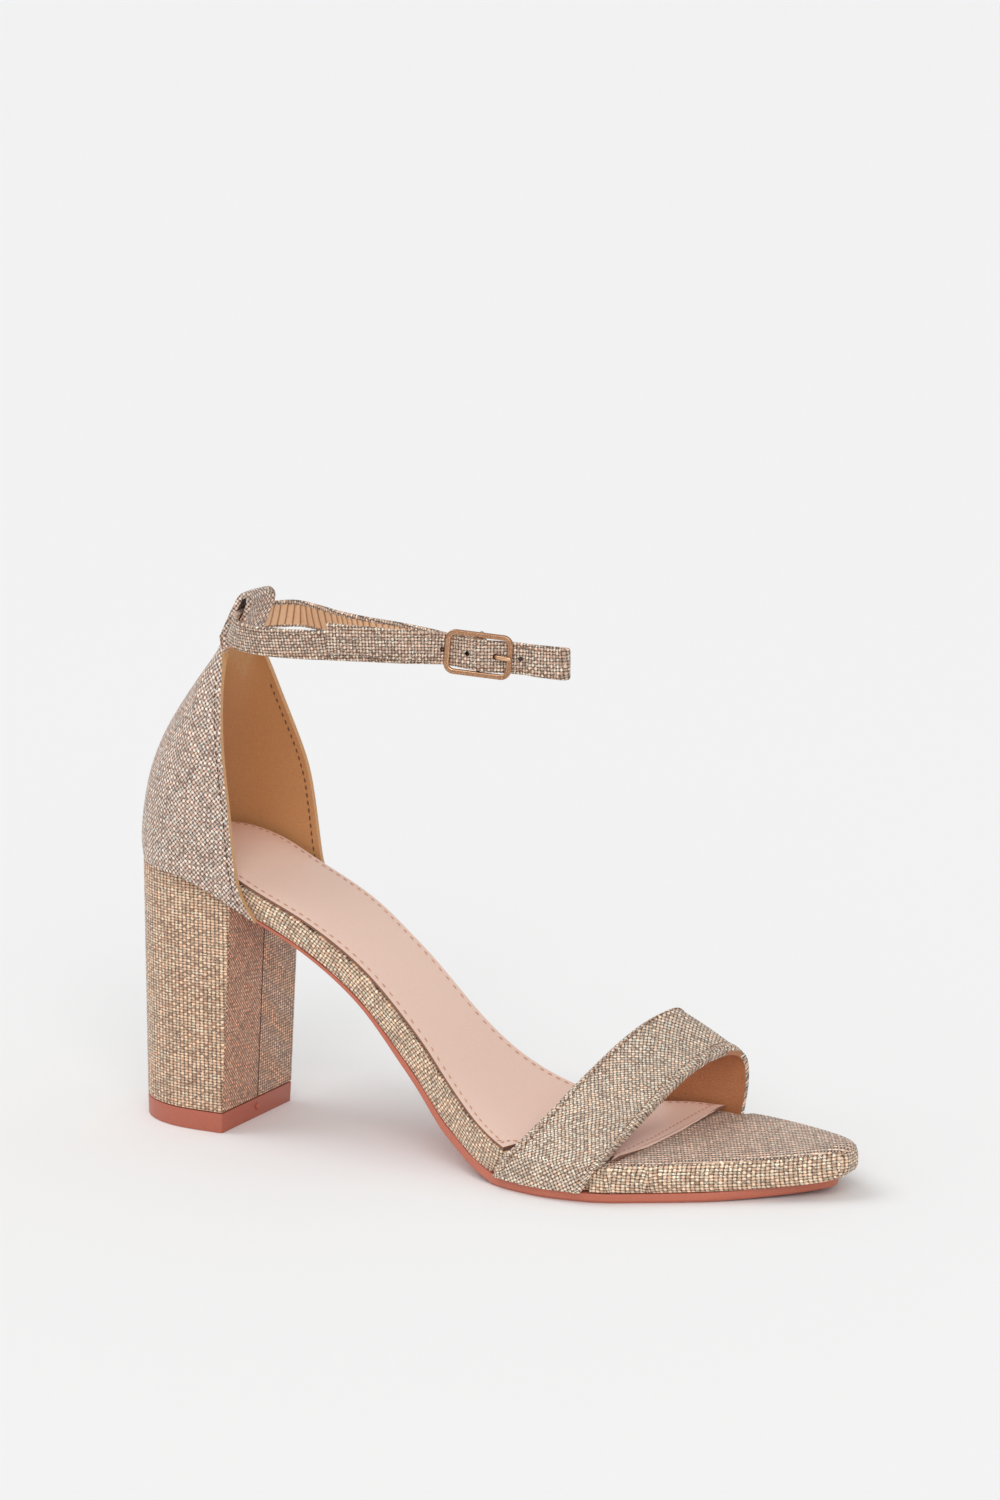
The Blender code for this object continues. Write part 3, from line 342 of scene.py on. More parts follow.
def weave_group():
    """Plain weave of two yarns with a share of metallic thread showing, and painted shade in the hollows
    between yarns and between ribs.
    """
    tree, w, given, made = new_group("metallic_weave", (
        ("Place", "NodeSocketVector"), ("Pitch", "NodeSocketFloat"), ("Warp", "NodeSocketColor"),
        ("Weft", "NodeSocketColor"), ("Thread", "NodeSocketColor"), ("HollowShade", "NodeSocketColor"),
        ("Glints", "NodeSocketFloat"), ("Ribs", "NodeSocketFloat"),
    ), (
        ("Color", "NodeSocketColor"), ("Roughness", "NodeSocketFloat"), ("Metallic", "NodeSocketFloat"),
        ("Height", "NodeSocketFloat"),
    ))
    place = w.vector("SCALE", given["Place"], scale=w.sum("DIVIDE", 1.0, given["Pitch"]))
    drift = w.times(w.less(w.cloudy(place, DRIFT_SCALE, 1.0), 0.5), DRIFT_REACH)
    aside = w.add("ShaderNodeCombineXYZ")
    w.feed(drift, aside.inputs[0])
    w.feed(w.times(drift, -0.7), aside.inputs[1])
    place = w.vector("ADD", place, aside.outputs[0])
    cell = w.vector("FLOOR", place)
    inside = w.add("ShaderNodeSeparateXYZ")
    w.feed(w.vector("FRACTION", place), inside.inputs[0])
    number = w.add("ShaderNodeSeparateXYZ")
    w.feed(cell, number.inputs[0])
    turn = w.sum("FLOORED_MODULO", w.plus(number.outputs[0], number.outputs[1]), 2.0)
    across = w.sine(w.times(inside.outputs[0], math.pi))
    along = w.sine(w.times(inside.outputs[1], math.pi))

    def float_over(crown, length):
        return w.times(w.sum("POWER", crown, 0.7), w.sum("MULTIPLY_ADD", length, 0.55, 0.45))

    crown = w.blend(turn, float_over(across, along), float_over(along, across))
    first = w.chance(cell)
    second = w.chance(w.vector("ADD", cell, (17.0, 5.0, 3.0)))
    third = w.chance(w.vector("FLOOR", w.vector("SCALE", place, scale=GLINT_FINENESS)))
    yarn = w.mix(turn, given["Warp"], given["Weft"])
    lane = w.add("ShaderNodeCombineXYZ")
    w.feed(w.blend(turn, number.outputs[0], number.outputs[1]), lane.inputs[0])
    w.feed(turn, lane.inputs[1])
    yarn = w.mix(1.0, yarn, w.steps(first, 0.0, 1.0, *CELL_TONES), "MULTIPLY")
    yarn = w.mix(1.0, yarn, w.steps(w.chance(lane.outputs[0]), 0.0, 1.0, *LANE_TONES), "MULTIPLY")
    shine = w.steps(w.less(third, w.less(1.0, given["Glints"])), -0.02, 0.02)
    yarn = w.mix(shine, yarn, given["Thread"])
    ridge = w.times(w.sum("COSINE", w.times(number.outputs[0], math.pi)), given["Ribs"])
    # Painted shade: the weave's low parts, and those between ribs, take the hollow colour.
    shade = w.steps(w.plus(crown, w.times(ridge, RIB_SHADE)), *HOLLOW_EDGE)
    w.feed(w.mix(shade, given["HollowShade"], yarn), made["Color"])
    w.feed(w.blend(shine, w.blend(first, 0.5, 0.7), 0.3), made["Roughness"])
    w.feed(w.times(w.blend(shine, 0.05, 0.55), shade), made["Metallic"])
    tilt = w.times(w.less(inside.outputs[0], 0.5), w.less(first, 0.5))
    other = w.times(w.less(inside.outputs[1], 0.5), w.less(second, 0.5))
    height = w.plus(crown, w.plus(tilt, other))
    w.feed(w.plus(height, ridge), made["Height"])
    return tree


def leather_group():
    """Fine pebbled leather with soft cloudy shading."""
    tree, w, given, made = new_group("fine_leather", (
        ("Place", "NodeSocketVector"), ("Light", "NodeSocketColor"), ("Deep", "NodeSocketColor"),
        ("Pebble", "NodeSocketFloat"), ("Streak", "NodeSocketFloat"),
    ), (
        ("Color", "NodeSocketColor"), ("Roughness", "NodeSocketFloat"), ("Height", "NodeSocketFloat"),
    ))
    clouds = w.cloudy(given["Place"], 0.07, 3.0)
    fine = w.cloudy(given["Place"], 1.3, 2.0)
    pebble = w.add("ShaderNodeTexVoronoi", feature="SMOOTH_F1")
    w.feed(given["Place"], pebble.inputs["Vector"])
    w.feed(w.sum("DIVIDE", 1.0, given["Pebble"]), pebble.inputs["Scale"])
    w.feed(0.4, pebble.inputs["Smoothness"])
    stretched = w.add("ShaderNodeMapping")
    w.feed(given["Place"], stretched.inputs["Vector"])
    stretched.inputs["Scale"].default_value = (0.05, 0.9, 0.9)
    streak = w.cloudy(stretched.outputs[0], 1.0, 2.0)
    tone = w.steps(w.plus(clouds, w.times(w.less(fine, 0.5), 0.25)), 0.3, 0.7)
    w.feed(w.mix(tone, given["Deep"], given["Light"]), made["Color"])
    w.feed(w.blend(fine, 0.38, 0.56), made["Roughness"])
    grain = w.times(pebble.outputs["Distance"], 0.5)
    w.feed(w.plus(grain, w.times(streak, given["Streak"])), made["Height"])
    return tree


TREAD_LEAN = 0.55                   # slant of the tread's crossing rows
TREAD_TURNS = 3.0                   # radians of a row for each millimetre


def moulding_group():
    """Moulded rubber: faint flow clouds, fine matt grain and scuffs."""
    tree, w, given, made = new_group("moulded_rubber", (
        ("Place", "NodeSocketVector"), ("Light", "NodeSocketColor"), ("Deep", "NodeSocketColor"),
        ("Tread", "NodeSocketFloat"),
    ), (
        ("Color", "NodeSocketColor"), ("Roughness", "NodeSocketFloat"), ("Height", "NodeSocketFloat"),
    ))
    clouds = w.cloudy(given["Place"], 0.09, 4.0)
    where = w.add("ShaderNodeSeparateXYZ")
    w.feed(given["Place"], where.inputs[0])
    rows = []
    for lean in (TREAD_LEAN, -TREAD_LEAN):
        slanted = w.sum("MULTIPLY_ADD", where.outputs[1], lean, where.outputs[0])
        rows.append(w.sine(w.times(slanted, TREAD_TURNS)))
    tread = w.times(w.steps(w.times(*rows), -0.1, 0.5), given["Tread"])
    grain = w.cloudy(given["Place"], 3.0, 2.0)
    scuff = w.steps(w.cloudy(given["Place"], 0.5, 5.0, 0.7), 0.62, 0.74)
    tone = w.mix(w.steps(clouds, 0.3, 0.7), given["Deep"], given["Light"])
    w.feed(w.mix(w.times(scuff, 0.22), tone, tint(214, 158, 138)), made["Color"])
    w.feed(w.plus(w.blend(grain, 0.36, 0.5), w.times(scuff, 0.15)), made["Roughness"])
    w.feed(w.plus(grain, tread), made["Height"])
    return tree


WEAVE = weave_group()
LEATHER = leather_group()
MOULDING = moulding_group()


def new_material(name):
    """A material, the wiring of its nodes and its shader."""
    material = bpy.data.materials.new(name)
    material.use_nodes = True
    wiring = Wiring(material.node_tree)
    shader = material.node_tree.nodes["Principled BSDF"]
    return material, wiring, shader


def cloth_place(w, turn, stretch):
    """The piece's own cloth place, turned in its plane and stretched."""
    place = w.add("ShaderNodeUVMap", uv_map="cloth")
    mapping = w.add("ShaderNodeMapping")
    w.feed(place.outputs["UV"], mapping.inputs["Vector"])
    mapping.inputs["Rotation"].default_value = (0.0, 0.0, math.radians(turn))
    mapping.inputs["Scale"].default_value = (*stretch, 1.0)
    return mapping.outputs["Vector"]


def solid_place(w):
    """Place in the object, in millimetres."""
    place = w.add("ShaderNodeTexCoord")
    return w.vector("SCALE", place.outputs["Object"], scale=1 / MM)


def add_relief(w, shader, height, depth):
    """Bumps the surface by a height from 0 to 1 times a depth in metres."""
    bump = w.add("ShaderNodeBump")
    bump.inputs["Distance"].default_value = depth
    bump.inputs["Strength"].default_value = 1.0
    w.feed(height, bump.inputs["Height"])
    w.feed(bump.outputs["Normal"], shader.inputs["Normal"])


CLOTH_RELIEF = 0.09 * MM


def cloth(name, turn, pitch, warp, weft, thread, hollow_shade, glints, ribs=0.0, stretch=(1.0, 1.0)):
    """Woven fabric: turn in degrees, pitch of its yarns in millimetres, and its colours up to 255, the hollow
    colour being painted shade in the weave's hollows.
    """
    material, w, shader = new_material(name)
    weave = w.add("ShaderNodeGroup", node_tree=WEAVE)
    given = {"Place": cloth_place(w, turn, stretch), "Pitch": pitch, "Warp": tint(*warp), "Weft": tint(*weft),
             "Thread": tint(*thread), "HollowShade": tint(*hollow_shade), "Glints": glints, "Ribs": ribs}
    for label, value in given.items():
        w.feed(value, weave.inputs[label])
    for label, socket in (("Color", "Base Color"), ("Roughness", "Roughness"), ("Metallic", "Metallic")):
        w.feed(weave.outputs[label], shader.inputs[socket])
    shader.inputs["Sheen Weight"].default_value = 0.12
    add_relief(w, shader, weave.outputs["Height"], CLOTH_RELIEF)
    return material


def leather(name, light, deep, pebble, streak, depth, coat=0.0):
    """Leather between two colours. Its pebbles and the depth of its relief are in millimetres."""
    material, w, shader = new_material(name)
    hide = w.add("ShaderNodeGroup", node_tree=LEATHER)
    given = {"Place": solid_place(w), "Light": tint(*light), "Deep": tint(*deep), "Pebble": pebble,
             "Streak": streak}
    for label, value in given.items():
        w.feed(value, hide.inputs[label])
    w.feed(hide.outputs["Color"], shader.inputs["Base Color"])
    w.feed(hide.outputs["Roughness"], shader.inputs["Roughness"])
    shader.inputs["Coat Weight"].default_value = coat
    shader.inputs["Coat Roughness"].default_value = 0.4
    add_relief(w, shader, hide.outputs["Height"], depth * MM)
    return material


GATHER_PITCH = 2.35                 # one fold of the ankle strap's lining, in millimetres
GATHER_STRETCH = (112.0, 190.0)     # where along the band the folds lie, in millimetres
GATHER_FADES = (6.0, 8.0)           # how gently they begin and end, in millimetres
# How unevenly they lie, in two waves: millimetres for each radian and height as a share of a fold.
GATHER_DRIFT = ((6.1, 0.35), (2.9, 0.20))


def gathered_leather(name, light, deep, trough_shade):
    """Lining drawn into small folds across the band, with painted shade in the troughs between them."""
    material = leather(name, light, deep, 0.6, 0.2, 0.06, 0.04)
    w = Wiring(material.node_tree)
    shader = material.node_tree.nodes["Principled BSDF"]
    colour = shader.inputs["Base Color"].links[0].from_socket
    place = w.add("ShaderNodeSeparateXYZ")
    w.feed(w.add("ShaderNodeUVMap", uv_map="cloth").outputs["UV"], place.inputs[0])
    along = place.outputs[0]
    slow, quick = [w.times(w.sine(w.sum("DIVIDE", along, reach)), share) for reach, share in GATHER_DRIFT]
    phase = w.plus(w.sum("DIVIDE", along, GATHER_PITCH), w.plus(slow, quick))
    fold = w.sum("ABSOLUTE", w.sine(w.times(phase, math.pi)))
    first, last = GATHER_STRETCH
    inside = w.times(w.steps(along, first, first + GATHER_FADES[0]),
                     w.steps(along, last - GATHER_FADES[1], last, 1.0, 0.0))
    # Painted shade in the troughs between the folds.
    dark = w.times(w.steps(fold, 0.0, 0.58, 0.9, 0.0), inside)
    w.feed(w.mix(dark, colour, tint(*trough_shade)), shader.inputs["Base Color"])
    return material


def rubber(name, light, deep, tread=0.0):
    """Moulded rubber between two colours, with the height of its tread."""
    material, w, shader = new_material(name)
    mould = w.add("ShaderNodeGroup", node_tree=MOULDING)
    given = {"Place": solid_place(w), "Light": tint(*light), "Deep": tint(*deep), "Tread": tread}
    for label, value in given.items():
        w.feed(value, mould.inputs[label])
    w.feed(mould.outputs["Color"], shader.inputs["Base Color"])
    w.feed(mould.outputs["Roughness"], shader.inputs["Roughness"])
    add_relief(w, shader, mould.outputs["Height"], (0.05 if tread else 0.02) * MM)
    return material


def plated_metal(name, light, deep):
    """Antique plating, duller and darker in cloudy patches, and lightly rubbed."""
    material, w, shader = new_material(name)
    place = solid_place(w)
    tarnish = w.steps(w.cloudy(place, 0.8, 4.0, 0.6), 0.35, 0.7)
    w.feed(w.mix(tarnish, tint(*deep), tint(*light)), shader.inputs["Base Color"])
    w.feed(w.blend(tarnish, 0.36, 0.2), shader.inputs["Roughness"])
    shader.inputs["Metallic"].default_value = 1.0
    add_relief(w, shader, w.cloudy(place, 4.0, 2.0), 0.01 * MM)
    return material


def thread_finish(name, light, deep):
    """Twisted sewing thread."""
    material, w, shader = new_material(name)
    place = solid_place(w)
    twist = w.cloudy(place, 6.0, 1.0)
    w.feed(w.mix(w.steps(twist, 0.35, 0.65), tint(*deep), tint(*light)), shader.inputs["Base Color"])
    shader.inputs["Roughness"].default_value = 0.6
    add_relief(w, shader, twist, 0.03 * MM)
    return material


# Each cloth's sixth colour is the painted shade in its weave's hollows.
SIDE_CLOTH = cloth("heel_cloth_rows", 0.0, 0.86, (232, 194, 162), (208, 165, 134), (255, 240, 210),
                   (78, 46, 30), 0.2, stretch=(0.62, 1.0))
BREAST_CLOTH = cloth("heel_breast_cloth_bias", 52.0, 0.88, (234, 184, 152), (208, 156, 126),
                     (250, 218, 184), (66, 34, 24), 0.12)
BREAST_ROWS = cloth("heel_breast_cloth_rows", 0.0, 0.88, (242, 198, 164), (218, 172, 140),
                    (250, 224, 188), (72, 42, 30), 0.14, stretch=(0.7, 1.0))
COUNTER_CLOTH = cloth("counter_cloth_bias", 42.0, 1.04, (240, 211, 192), (208, 172, 152),
                      (255, 250, 238), (46, 26, 22), 0.2)
RAND_CLOTH = cloth("rand_cloth_rows", 2.0, 0.9, (248, 214, 184), (222, 182, 150), (255, 248, 222),
                   (66, 40, 27), 0.2, stretch=(0.8, 1.0))
TOE_CLOTH = cloth("toe_cloth_ribs", 62.0, 0.95, (252, 216, 190), (222, 178, 152), (255, 248, 228),
                  (52, 30, 24), 0.2, ribs=1.0)
STRAP_CLOTH = cloth("forefoot_strap_cloth", 32.0, 0.98, (238, 209, 184), (208, 174, 148),
                    (255, 250, 232), (44, 27, 20), 0.24)
ANKLE_CLOTH = cloth("ankle_strap_cloth", 4.0, 0.94, (224, 191, 168), (194, 158, 135),
                    (255, 246, 224), (38, 21, 16), 0.2)
SOCK_LEATHER = leather("sock_leather", (245, 213, 196), (236, 199, 180), 0.8, 0.0, 0.03, 0.12)
SEAM_SHADE = leather("seam_shadow", (92, 60, 46), (66, 40, 30), 0.5, 0.3, 0.05)
# Painted shadow for the gap between the sock's edge and the rand.
SOCK_EDGE_SHADE = leather("sock_edge_painted_shadow", (150, 106, 86), (116, 78, 62), 0.5, 0.3, 0.05)
LINING_LEATHER = leather("counter_lining_leather", (208, 154, 104), (190, 134, 86), 0.6, 0.0, 0.04, 0.1)
STRAP_LINING = leather("forefoot_lining_leather", (198, 136, 92), (164, 102, 64), 0.6, 0.25, 0.12, 0.1)
EDGE_LEATHER = leather("cut_edge_leather", (214, 168, 116), (182, 130, 84), 0.5, 0.3, 0.08)
# The gathered lining's last colour is painted shade for the troughs between its folds.
ANKLE_LINING = gathered_leather("ankle_gathered_lining", (240, 200, 160), (222, 174, 132), (134, 86, 54))
SOLE_RUBBER = rubber("outsole_rubber", (200, 118, 94), (184, 100, 78))
TIP_RUBBER = rubber("heel_tip_rubber", (186, 106, 84), (170, 90, 70))
SOLE_TREAD = rubber("sole_tread_rubber", (196, 114, 90), (178, 94, 74), 5.0)
BUCKLE_METAL = plated_metal("buckle_antique_gold", (222, 174, 138), (140, 98, 72))
# Bright gold of the prong, also a painted highlight on the buckle frame's inner rim.
PRONG_GOLD_AND_RIM_HIGHLIGHT = plated_metal("prong_gold_and_rim_painted_highlight", (250, 214, 176), (206, 152, 112))
# Painted shade for the walls of the strap's holes, slot and prong way.
HOLE_SHADE = leather("hole_wall_painted_shade", (70, 48, 38), (46, 30, 24), 0.5, 0.2, 0.03)
PINK_THREAD = thread_finish("pink_thread", (218, 168, 144), (184, 130, 106))
DARK_THREAD = thread_finish("dark_thread", (120, 80, 54), (78, 48, 32))
TAN_THREAD = thread_finish("tan_thread", (164, 112, 74), (112, 70, 44))


# Heel

HEEL_BACK_CENTRE = 0.0080
HEEL_RADIUS = 0.0206
BREAST_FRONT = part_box("heel_tip")[1].x
SEAM_HALF = 0.30 * MM
SEAM_DEPTH = 0.8 * MM
NUB_RADIUS = 0.7 * MM
NUB_PLACE = (BREAST_FRONT + 0.15 * MM, -0.4 * MM, 3.4 * MM)
FORWARD = 0.7                       # a face looks forward if its normal's X is over this


def round_back(point, centre, radius):
    """Length along a D-shaped plan from the middle of its back."""
    side = math.copysign(1.0, point.y)
    if point.x > centre:
        return side * (math.pi / 2 * radius + point.x - centre)
    return side * radius * math.atan2(abs(point.y), centre - point.x)


def heel_chart(point, normal):
    """The breast and both ends lie flat on the cloth, the rest goes round the back."""
    if normal.x > FORWARD:
        return point.y / MM, point.z / MM
    if abs(normal.z) > 0.8:
        return point.x / MM, point.y / MM
    return round_back(point, HEEL_BACK_CENTRE, HEEL_RADIUS) / MM, point.z / MM


def make_heel_cover():
    """Fabric-covered heel, the cover's two ends butted in a seam down the breast."""
    cover = copy_of("heel_block", "heel_cover")
    soften(cover, 0.35 * MM, 0, 50.0, 3)
    bpy.ops.object.mode_set(mode="EDIT")
    for shift in (-SEAM_HALF, 0.0, SEAM_HALF):
        select_faces(cover, lambda middle, normal: normal.x > 0.9)
        bpy.ops.mesh.bisect(plane_co=(0.0, shift, 0.0), plane_no=(0.0, 1.0, 0.0))
    bpy.ops.object.mode_set(mode="OBJECT")
    for vert in cover.data.vertices:
        if abs(vert.co.y) < 0.05 * MM and vert.co.x > BREAST_FRONT - 1.0 * MM:
            vert.co.x -= SEAM_DEPTH
    smooth_under(30)
    lay_cloth(cover, heel_chart)
    dress(cover, "lurex_fabric", SIDE_CLOTH, BREAST_CLOTH, BREAST_ROWS, SEAM_SHADE)
    paint(cover, 1, lambda middle, normal: normal.x > FORWARD and middle.y < 0.0)
    paint(cover, 2, lambda middle, normal: normal.x > FORWARD and middle.y >= 0.0)
    paint(cover, 3, lambda middle, normal: abs(middle.y) < SEAM_HALF * 0.9
          and middle.x > BREAST_FRONT - 2.0 * MM)
    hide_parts("heel_block")


def make_heel_tip():
    """Moulded tip with soft edges and the small nub of its mould gate."""
    tip = copy_of("heel_tip", "heel_tip_moulded")
    soften(tip, 0.4 * MM, 0, 50.0, 3)
    smooth_under(35)
    dress(tip, "sole_rubber", TIP_RUBBER, SOLE_TREAD)
    paint(tip, 1, lambda middle, normal: normal.z < -0.9)
    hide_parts("heel_tip")
    drop_selection()
    bpy.ops.mesh.primitive_uv_sphere_add(segments=16, ring_count=8, radius=NUB_RADIUS, location=NUB_PLACE)
    nub = named("heel_tip_nub")
    nub.scale = (0.7, 1.0, 1.5)
    settle(nub)
    bpy.ops.object.shade_smooth()
    dress(nub, "sole_rubber", TIP_RUBBER)


# Sole

def profile_of(node, step=1.5 * MM):
    """Places along a long piece: (x, middle height, length so far), worked out from its own points."""
    low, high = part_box(node)
    count = int((high.x - low.x) / step)
    sums = [[0.0, 0] for _ in range(count + 1)]
    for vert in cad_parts[node].data.vertices:
        bin_number = min(int((vert.co.x - low.x) / step), count)
        sums[bin_number][0] += vert.co.z
        sums[bin_number][1] += 1
    rows = []
    for number, (total, points) in enumerate(sums):
        if points:
            rows.append([low.x + (number + 0.5) * step, total / points, 0.0])
    for before, after in zip(rows, rows[1:]):
        after[2] = before[2] + math.hypot(after[0] - before[0], after[1] - before[1])
    return rows


def along_profile(rows, point):
    """(length along, height square to the slope) of a point beside a profile."""
    number = 0
    while number < len(rows) - 2 and point.x > rows[number + 1][0]:
        number += 1
    near, far = rows[number], rows[number + 1]
    share = (point.x - near[0]) / (far[0] - near[0])
    middle = near[1] + (far[1] - near[1]) * share
    slope = math.atan2(far[1] - near[1], far[0] - near[0])
    length = near[2] + (far[2] - near[2]) * share
    rise = point.z - middle
    return length + rise * math.sin(slope), rise * math.cos(slope)


RAND_PROFILE = profile_of("midsole")
TOE_TOP_START = 0.140               # the toe's own piece of cloth begins here
UPWARD = 0.6                        # a face looks up if its normal's Z is over this


def rand_chart(point, normal):
    """The toe's top and the front lie flat on the cloth, the rest follows the sole's curve."""
    if normal.z > UPWARD and point.x > TOE_TOP_START:
        return point.x / MM, point.y / MM
    if normal.x > FORWARD:
        return point.y / MM, point.z / MM
    length, rise = along_profile(RAND_PROFILE, point)
    return length / MM, rise / MM


def make_rand():
    """Insole board with its fabric wrap and padded toe platform."""
    rand = copy_of("midsole", "rand_and_toe_platform")
    soften(rand, 0.3 * MM, 1, 40.0)
    lay_cloth(rand, rand_chart)
    dress(rand, "lurex_fabric", RAND_CLOTH, TOE_CLOTH)
    paint(rand, 1, lambda middle, normal: normal.z > UPWARD and middle.x > TOE_TOP_START)
    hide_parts("midsole")


TREAD_START = 0.085                 # the walking part of the sole begins here


def make_outsole():
    """Thin moulded sole with its tread below."""
    sole = copy_of("outsole", "outsole_moulded")
    soften(sole, 0.35 * MM, 1, 40.0)
    dress(sole, "sole_rubber", SOLE_RUBBER, SOLE_TREAD)
    paint(sole, 1, lambda middle, normal: normal.z < -0.9 and middle.x > TREAD_START)
    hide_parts("outsole")


# Creases of the sock lining: both ends in metres, width and depth in millimetres.
SOCK_CREASES = (
    ((0.112, -0.028, 0.0135), (0.119, -0.016, 0.0125), 1.3, 0.16),
    ((0.108, -0.024, 0.0150), (0.114, -0.012, 0.0130), 1.1, 0.12),
    ((0.118, -0.030, 0.0125), (0.124, -0.021, 0.0120), 1.2, 0.14),
    ((0.096, 0.004, 0.0200), (0.103, 0.020, 0.0165), 2.0, 0.14),
    ((0.060, -0.010, 0.0540), (0.063, 0.012, 0.0515), 2.4, 0.12),
)
SOCK_FACING = (0.3, 0.0, 1.0)


def make_sock():
    """Sock lining, its edge turned down with painted shadow on its side faces, and its surface lightly
    creased by the foot.
    """
    sock = copy_of("insole_sock", "sock_lining")
    soften(sock, 0.25 * MM, 2, 40.0)
    dress(sock, "sock_leather", SOCK_LEATHER, SOCK_EDGE_SHADE)
    # Painted shadow: the sock's side faces take the dark edge colour.
    paint(sock, 1, lambda middle, normal: abs(normal.z) < 0.35)
    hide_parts("insole_sock")
    for start, end, width, depth in SOCK_CREASES:
        crease(sock, start, end, width * MM, depth * MM, SOCK_FACING)
    return sock


# Back quarter

COUNTER_AXIS = 0.0070
COUNTER_RADIUS = 0.0240
TONGUE_ROOT = 0.1425
LEDGE_DROP = 5.0 * MM               # how far below the tongue's root its ledge reaches


def counter_chart(point, normal):
    """Length round the back and height."""
    return round_back(point, COUNTER_AXIS, COUNTER_RADIUS) / MM, point.z / MM


def lay_tongue_cloth(counter):
    """The tongue's cloth is laid flat on each of its faces, and on the ledge at its root."""
    layer = counter.data.uv_layers["cloth"]
    for face in counter.data.polygons:
        level = abs(face.normal.z) > UPWARD
        if face.center.z < TONGUE_ROOT - (LEDGE_DROP if level else 0.0):
            continue
        first, second = (0, 1) if level else (0, 2) if abs(face.normal.y) > 0.7 else (1, 2)
        for corner in face.loop_indices:
            point = counter.data.vertices[counter.data.loops[corner].vertex_index].co
            layer.data[corner].uv = (point[first] / MM, point[second] / MM)


def counter_outward(point):
    """Direction out of the back quarter's plan at a point."""
    if point.x > COUNTER_AXIS:
        return Vector((0.0, math.copysign(1.0, point.y), 0.0))
    return Vector((point.x - COUNTER_AXIS, point.y, 0.0)).normalized()


def make_counter():
    """Back quarter with its leather lining and the tongue that holds the ankle strap."""
    counter = copy_of("heel_counter", "back_quarter")
    soften(counter, 0.4 * MM, 2, 50.0)
    lay_cloth(counter, counter_chart)
    lay_tongue_cloth(counter)
    dress(counter, "lurex_fabric", COUNTER_CLOTH, LINING_LEATHER, EDGE_LEATHER)
    paint(counter, 1, lambda middle, normal: middle.z < TONGUE_ROOT
          and normal.dot(counter_outward(middle)) < -0.2)
    paint(counter, 2, lambda middle, normal: middle.z < TONGUE_ROOT - 1 * MM and normal.x > 0.45
          and middle.x > COUNTER_AXIS and abs(normal.dot(counter_outward(middle))) <= 0.75)
    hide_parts("heel_counter")
    return counter


# Forefoot strap

# Middle line of the strap's section: (y, z) in millimetres from its outer foot to its inner one.
STRAP_ARCH = (
    (-33.5, 3.0), (-33.0, 10.0), (-30.0, 12.5), (-20.0, 17.5), (-8.0, 24.0), (4.0, 29.0), (16.0, 33.0),
    (26.0, 34.5), (33.0, 33.0), (37.5, 28.0), (39.0, 20.0), (38.5, 12.0), (38.0, 3.0),
)
STRAP_ARCH_CENTRE = Vector((0.0, 8.0 * MM, 6.0 * MM))
STRAP_SLANT = 0.16                  # how far forward the strap runs for its length
LINING_CUTS = 3                     # cuts across each face of the lining, so that it can wrinkle


def strap_turns():
    """(turn about the arch's centre, length up to there in millimetres) of each of the arch's points."""
    turns = []
    length = 0.0
    for number, (across, up) in enumerate(STRAP_ARCH):
        if number:
            last = STRAP_ARCH[number - 1]
            length += math.hypot(across - last[0], up - last[1])
        turns.append((strap_turn(across * MM, up * MM), length))
    return turns


def strap_turn(across, up):
    """Turn about the arch's centre, growing from the outer foot to the inner one."""
    turn = math.atan2(up - STRAP_ARCH_CENTRE.z, across - STRAP_ARCH_CENTRE.y)
    return -(turn + math.tau if turn < -math.pi / 2 else turn)


STRAP_TURNS = strap_turns()


def strap_chart(point, normal):
    """Length round the strap and place across it."""
    turn = strap_turn(point.y, point.z)
    last = len(STRAP_TURNS) - 2
    for number, (near, far) in enumerate(zip(STRAP_TURNS, STRAP_TURNS[1:])):
        if turn <= far[0] or number == last:
            length = near[1] + (far[1] - near[1]) * (turn - near[0]) / (far[0] - near[0])
            return length, point.x / MM - length * STRAP_SLANT


def on_strap_lining(middle, normal):
    """Whether a face looks in towards the foot."""
    outward = Vector((0.0, middle.y, middle.z)) - STRAP_ARCH_CENTRE
    return normal.dot(outward.normalized()) < -0.45


def make_toe_strap():
    """Wide strap over the forefoot, fabric outside and leather inside."""
    strap = copy_of("toe_strap", "forefoot_strap")
    soften(strap, 0.4 * MM, 2, 50.0)
    bpy.ops.object.mode_set(mode="EDIT")
    select_faces(strap, on_strap_lining)
    bpy.ops.mesh.subdivide(number_cuts=LINING_CUTS)
    bpy.ops.object.mode_set(mode="OBJECT")
    lay_cloth(strap, strap_chart)
    dress(strap, "lurex_fabric", STRAP_CLOTH, STRAP_LINING)
    paint(strap, 1, on_strap_lining)
    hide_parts("toe_strap")
    return strap


# Ankle strap and buckle

STRAP_WIDTH = 9.0 * MM
STRAP_THICKNESS = 1.4 * MM
SKIVED_THICKNESS = 0.8 * MM
CLEARANCE = 0.3 * MM
ANKLE_REACH = 0.1056
ANKLE_HALF_SPAN = 0.0200
STRAP_START = Vector((0.01475, 0.0, 0.14948))       # middle of the band inside the loop
BAR_CENTRE = Vector((0.09501, -0.0052, 0.1475))
BUCKLE_HEADING = math.radians(15.5)
BUCKLE_DROOP = math.radians(5.0)
BUCKLE_LENGTH = 19.6 * MM
BUCKLE_WIRE = 1.5 * MM
BUCKLE_DEPTH = 1.4 * MM
BUCKLE_CORNER = 3.0 * MM
BUCKLE_SLACK = 0.4 * MM
BAR_RADIUS = 0.6 * MM
BAR_SET_BACK = 1.9 * MM
PRONG_THICKNESS = 0.8 * MM
PRONG_WIDTH = 1.2 * MM
PRONG_HOLE = 0.45
HOLE_PITCH = 7.5 * MM
HOLE_RADIUS = 0.7 * MM
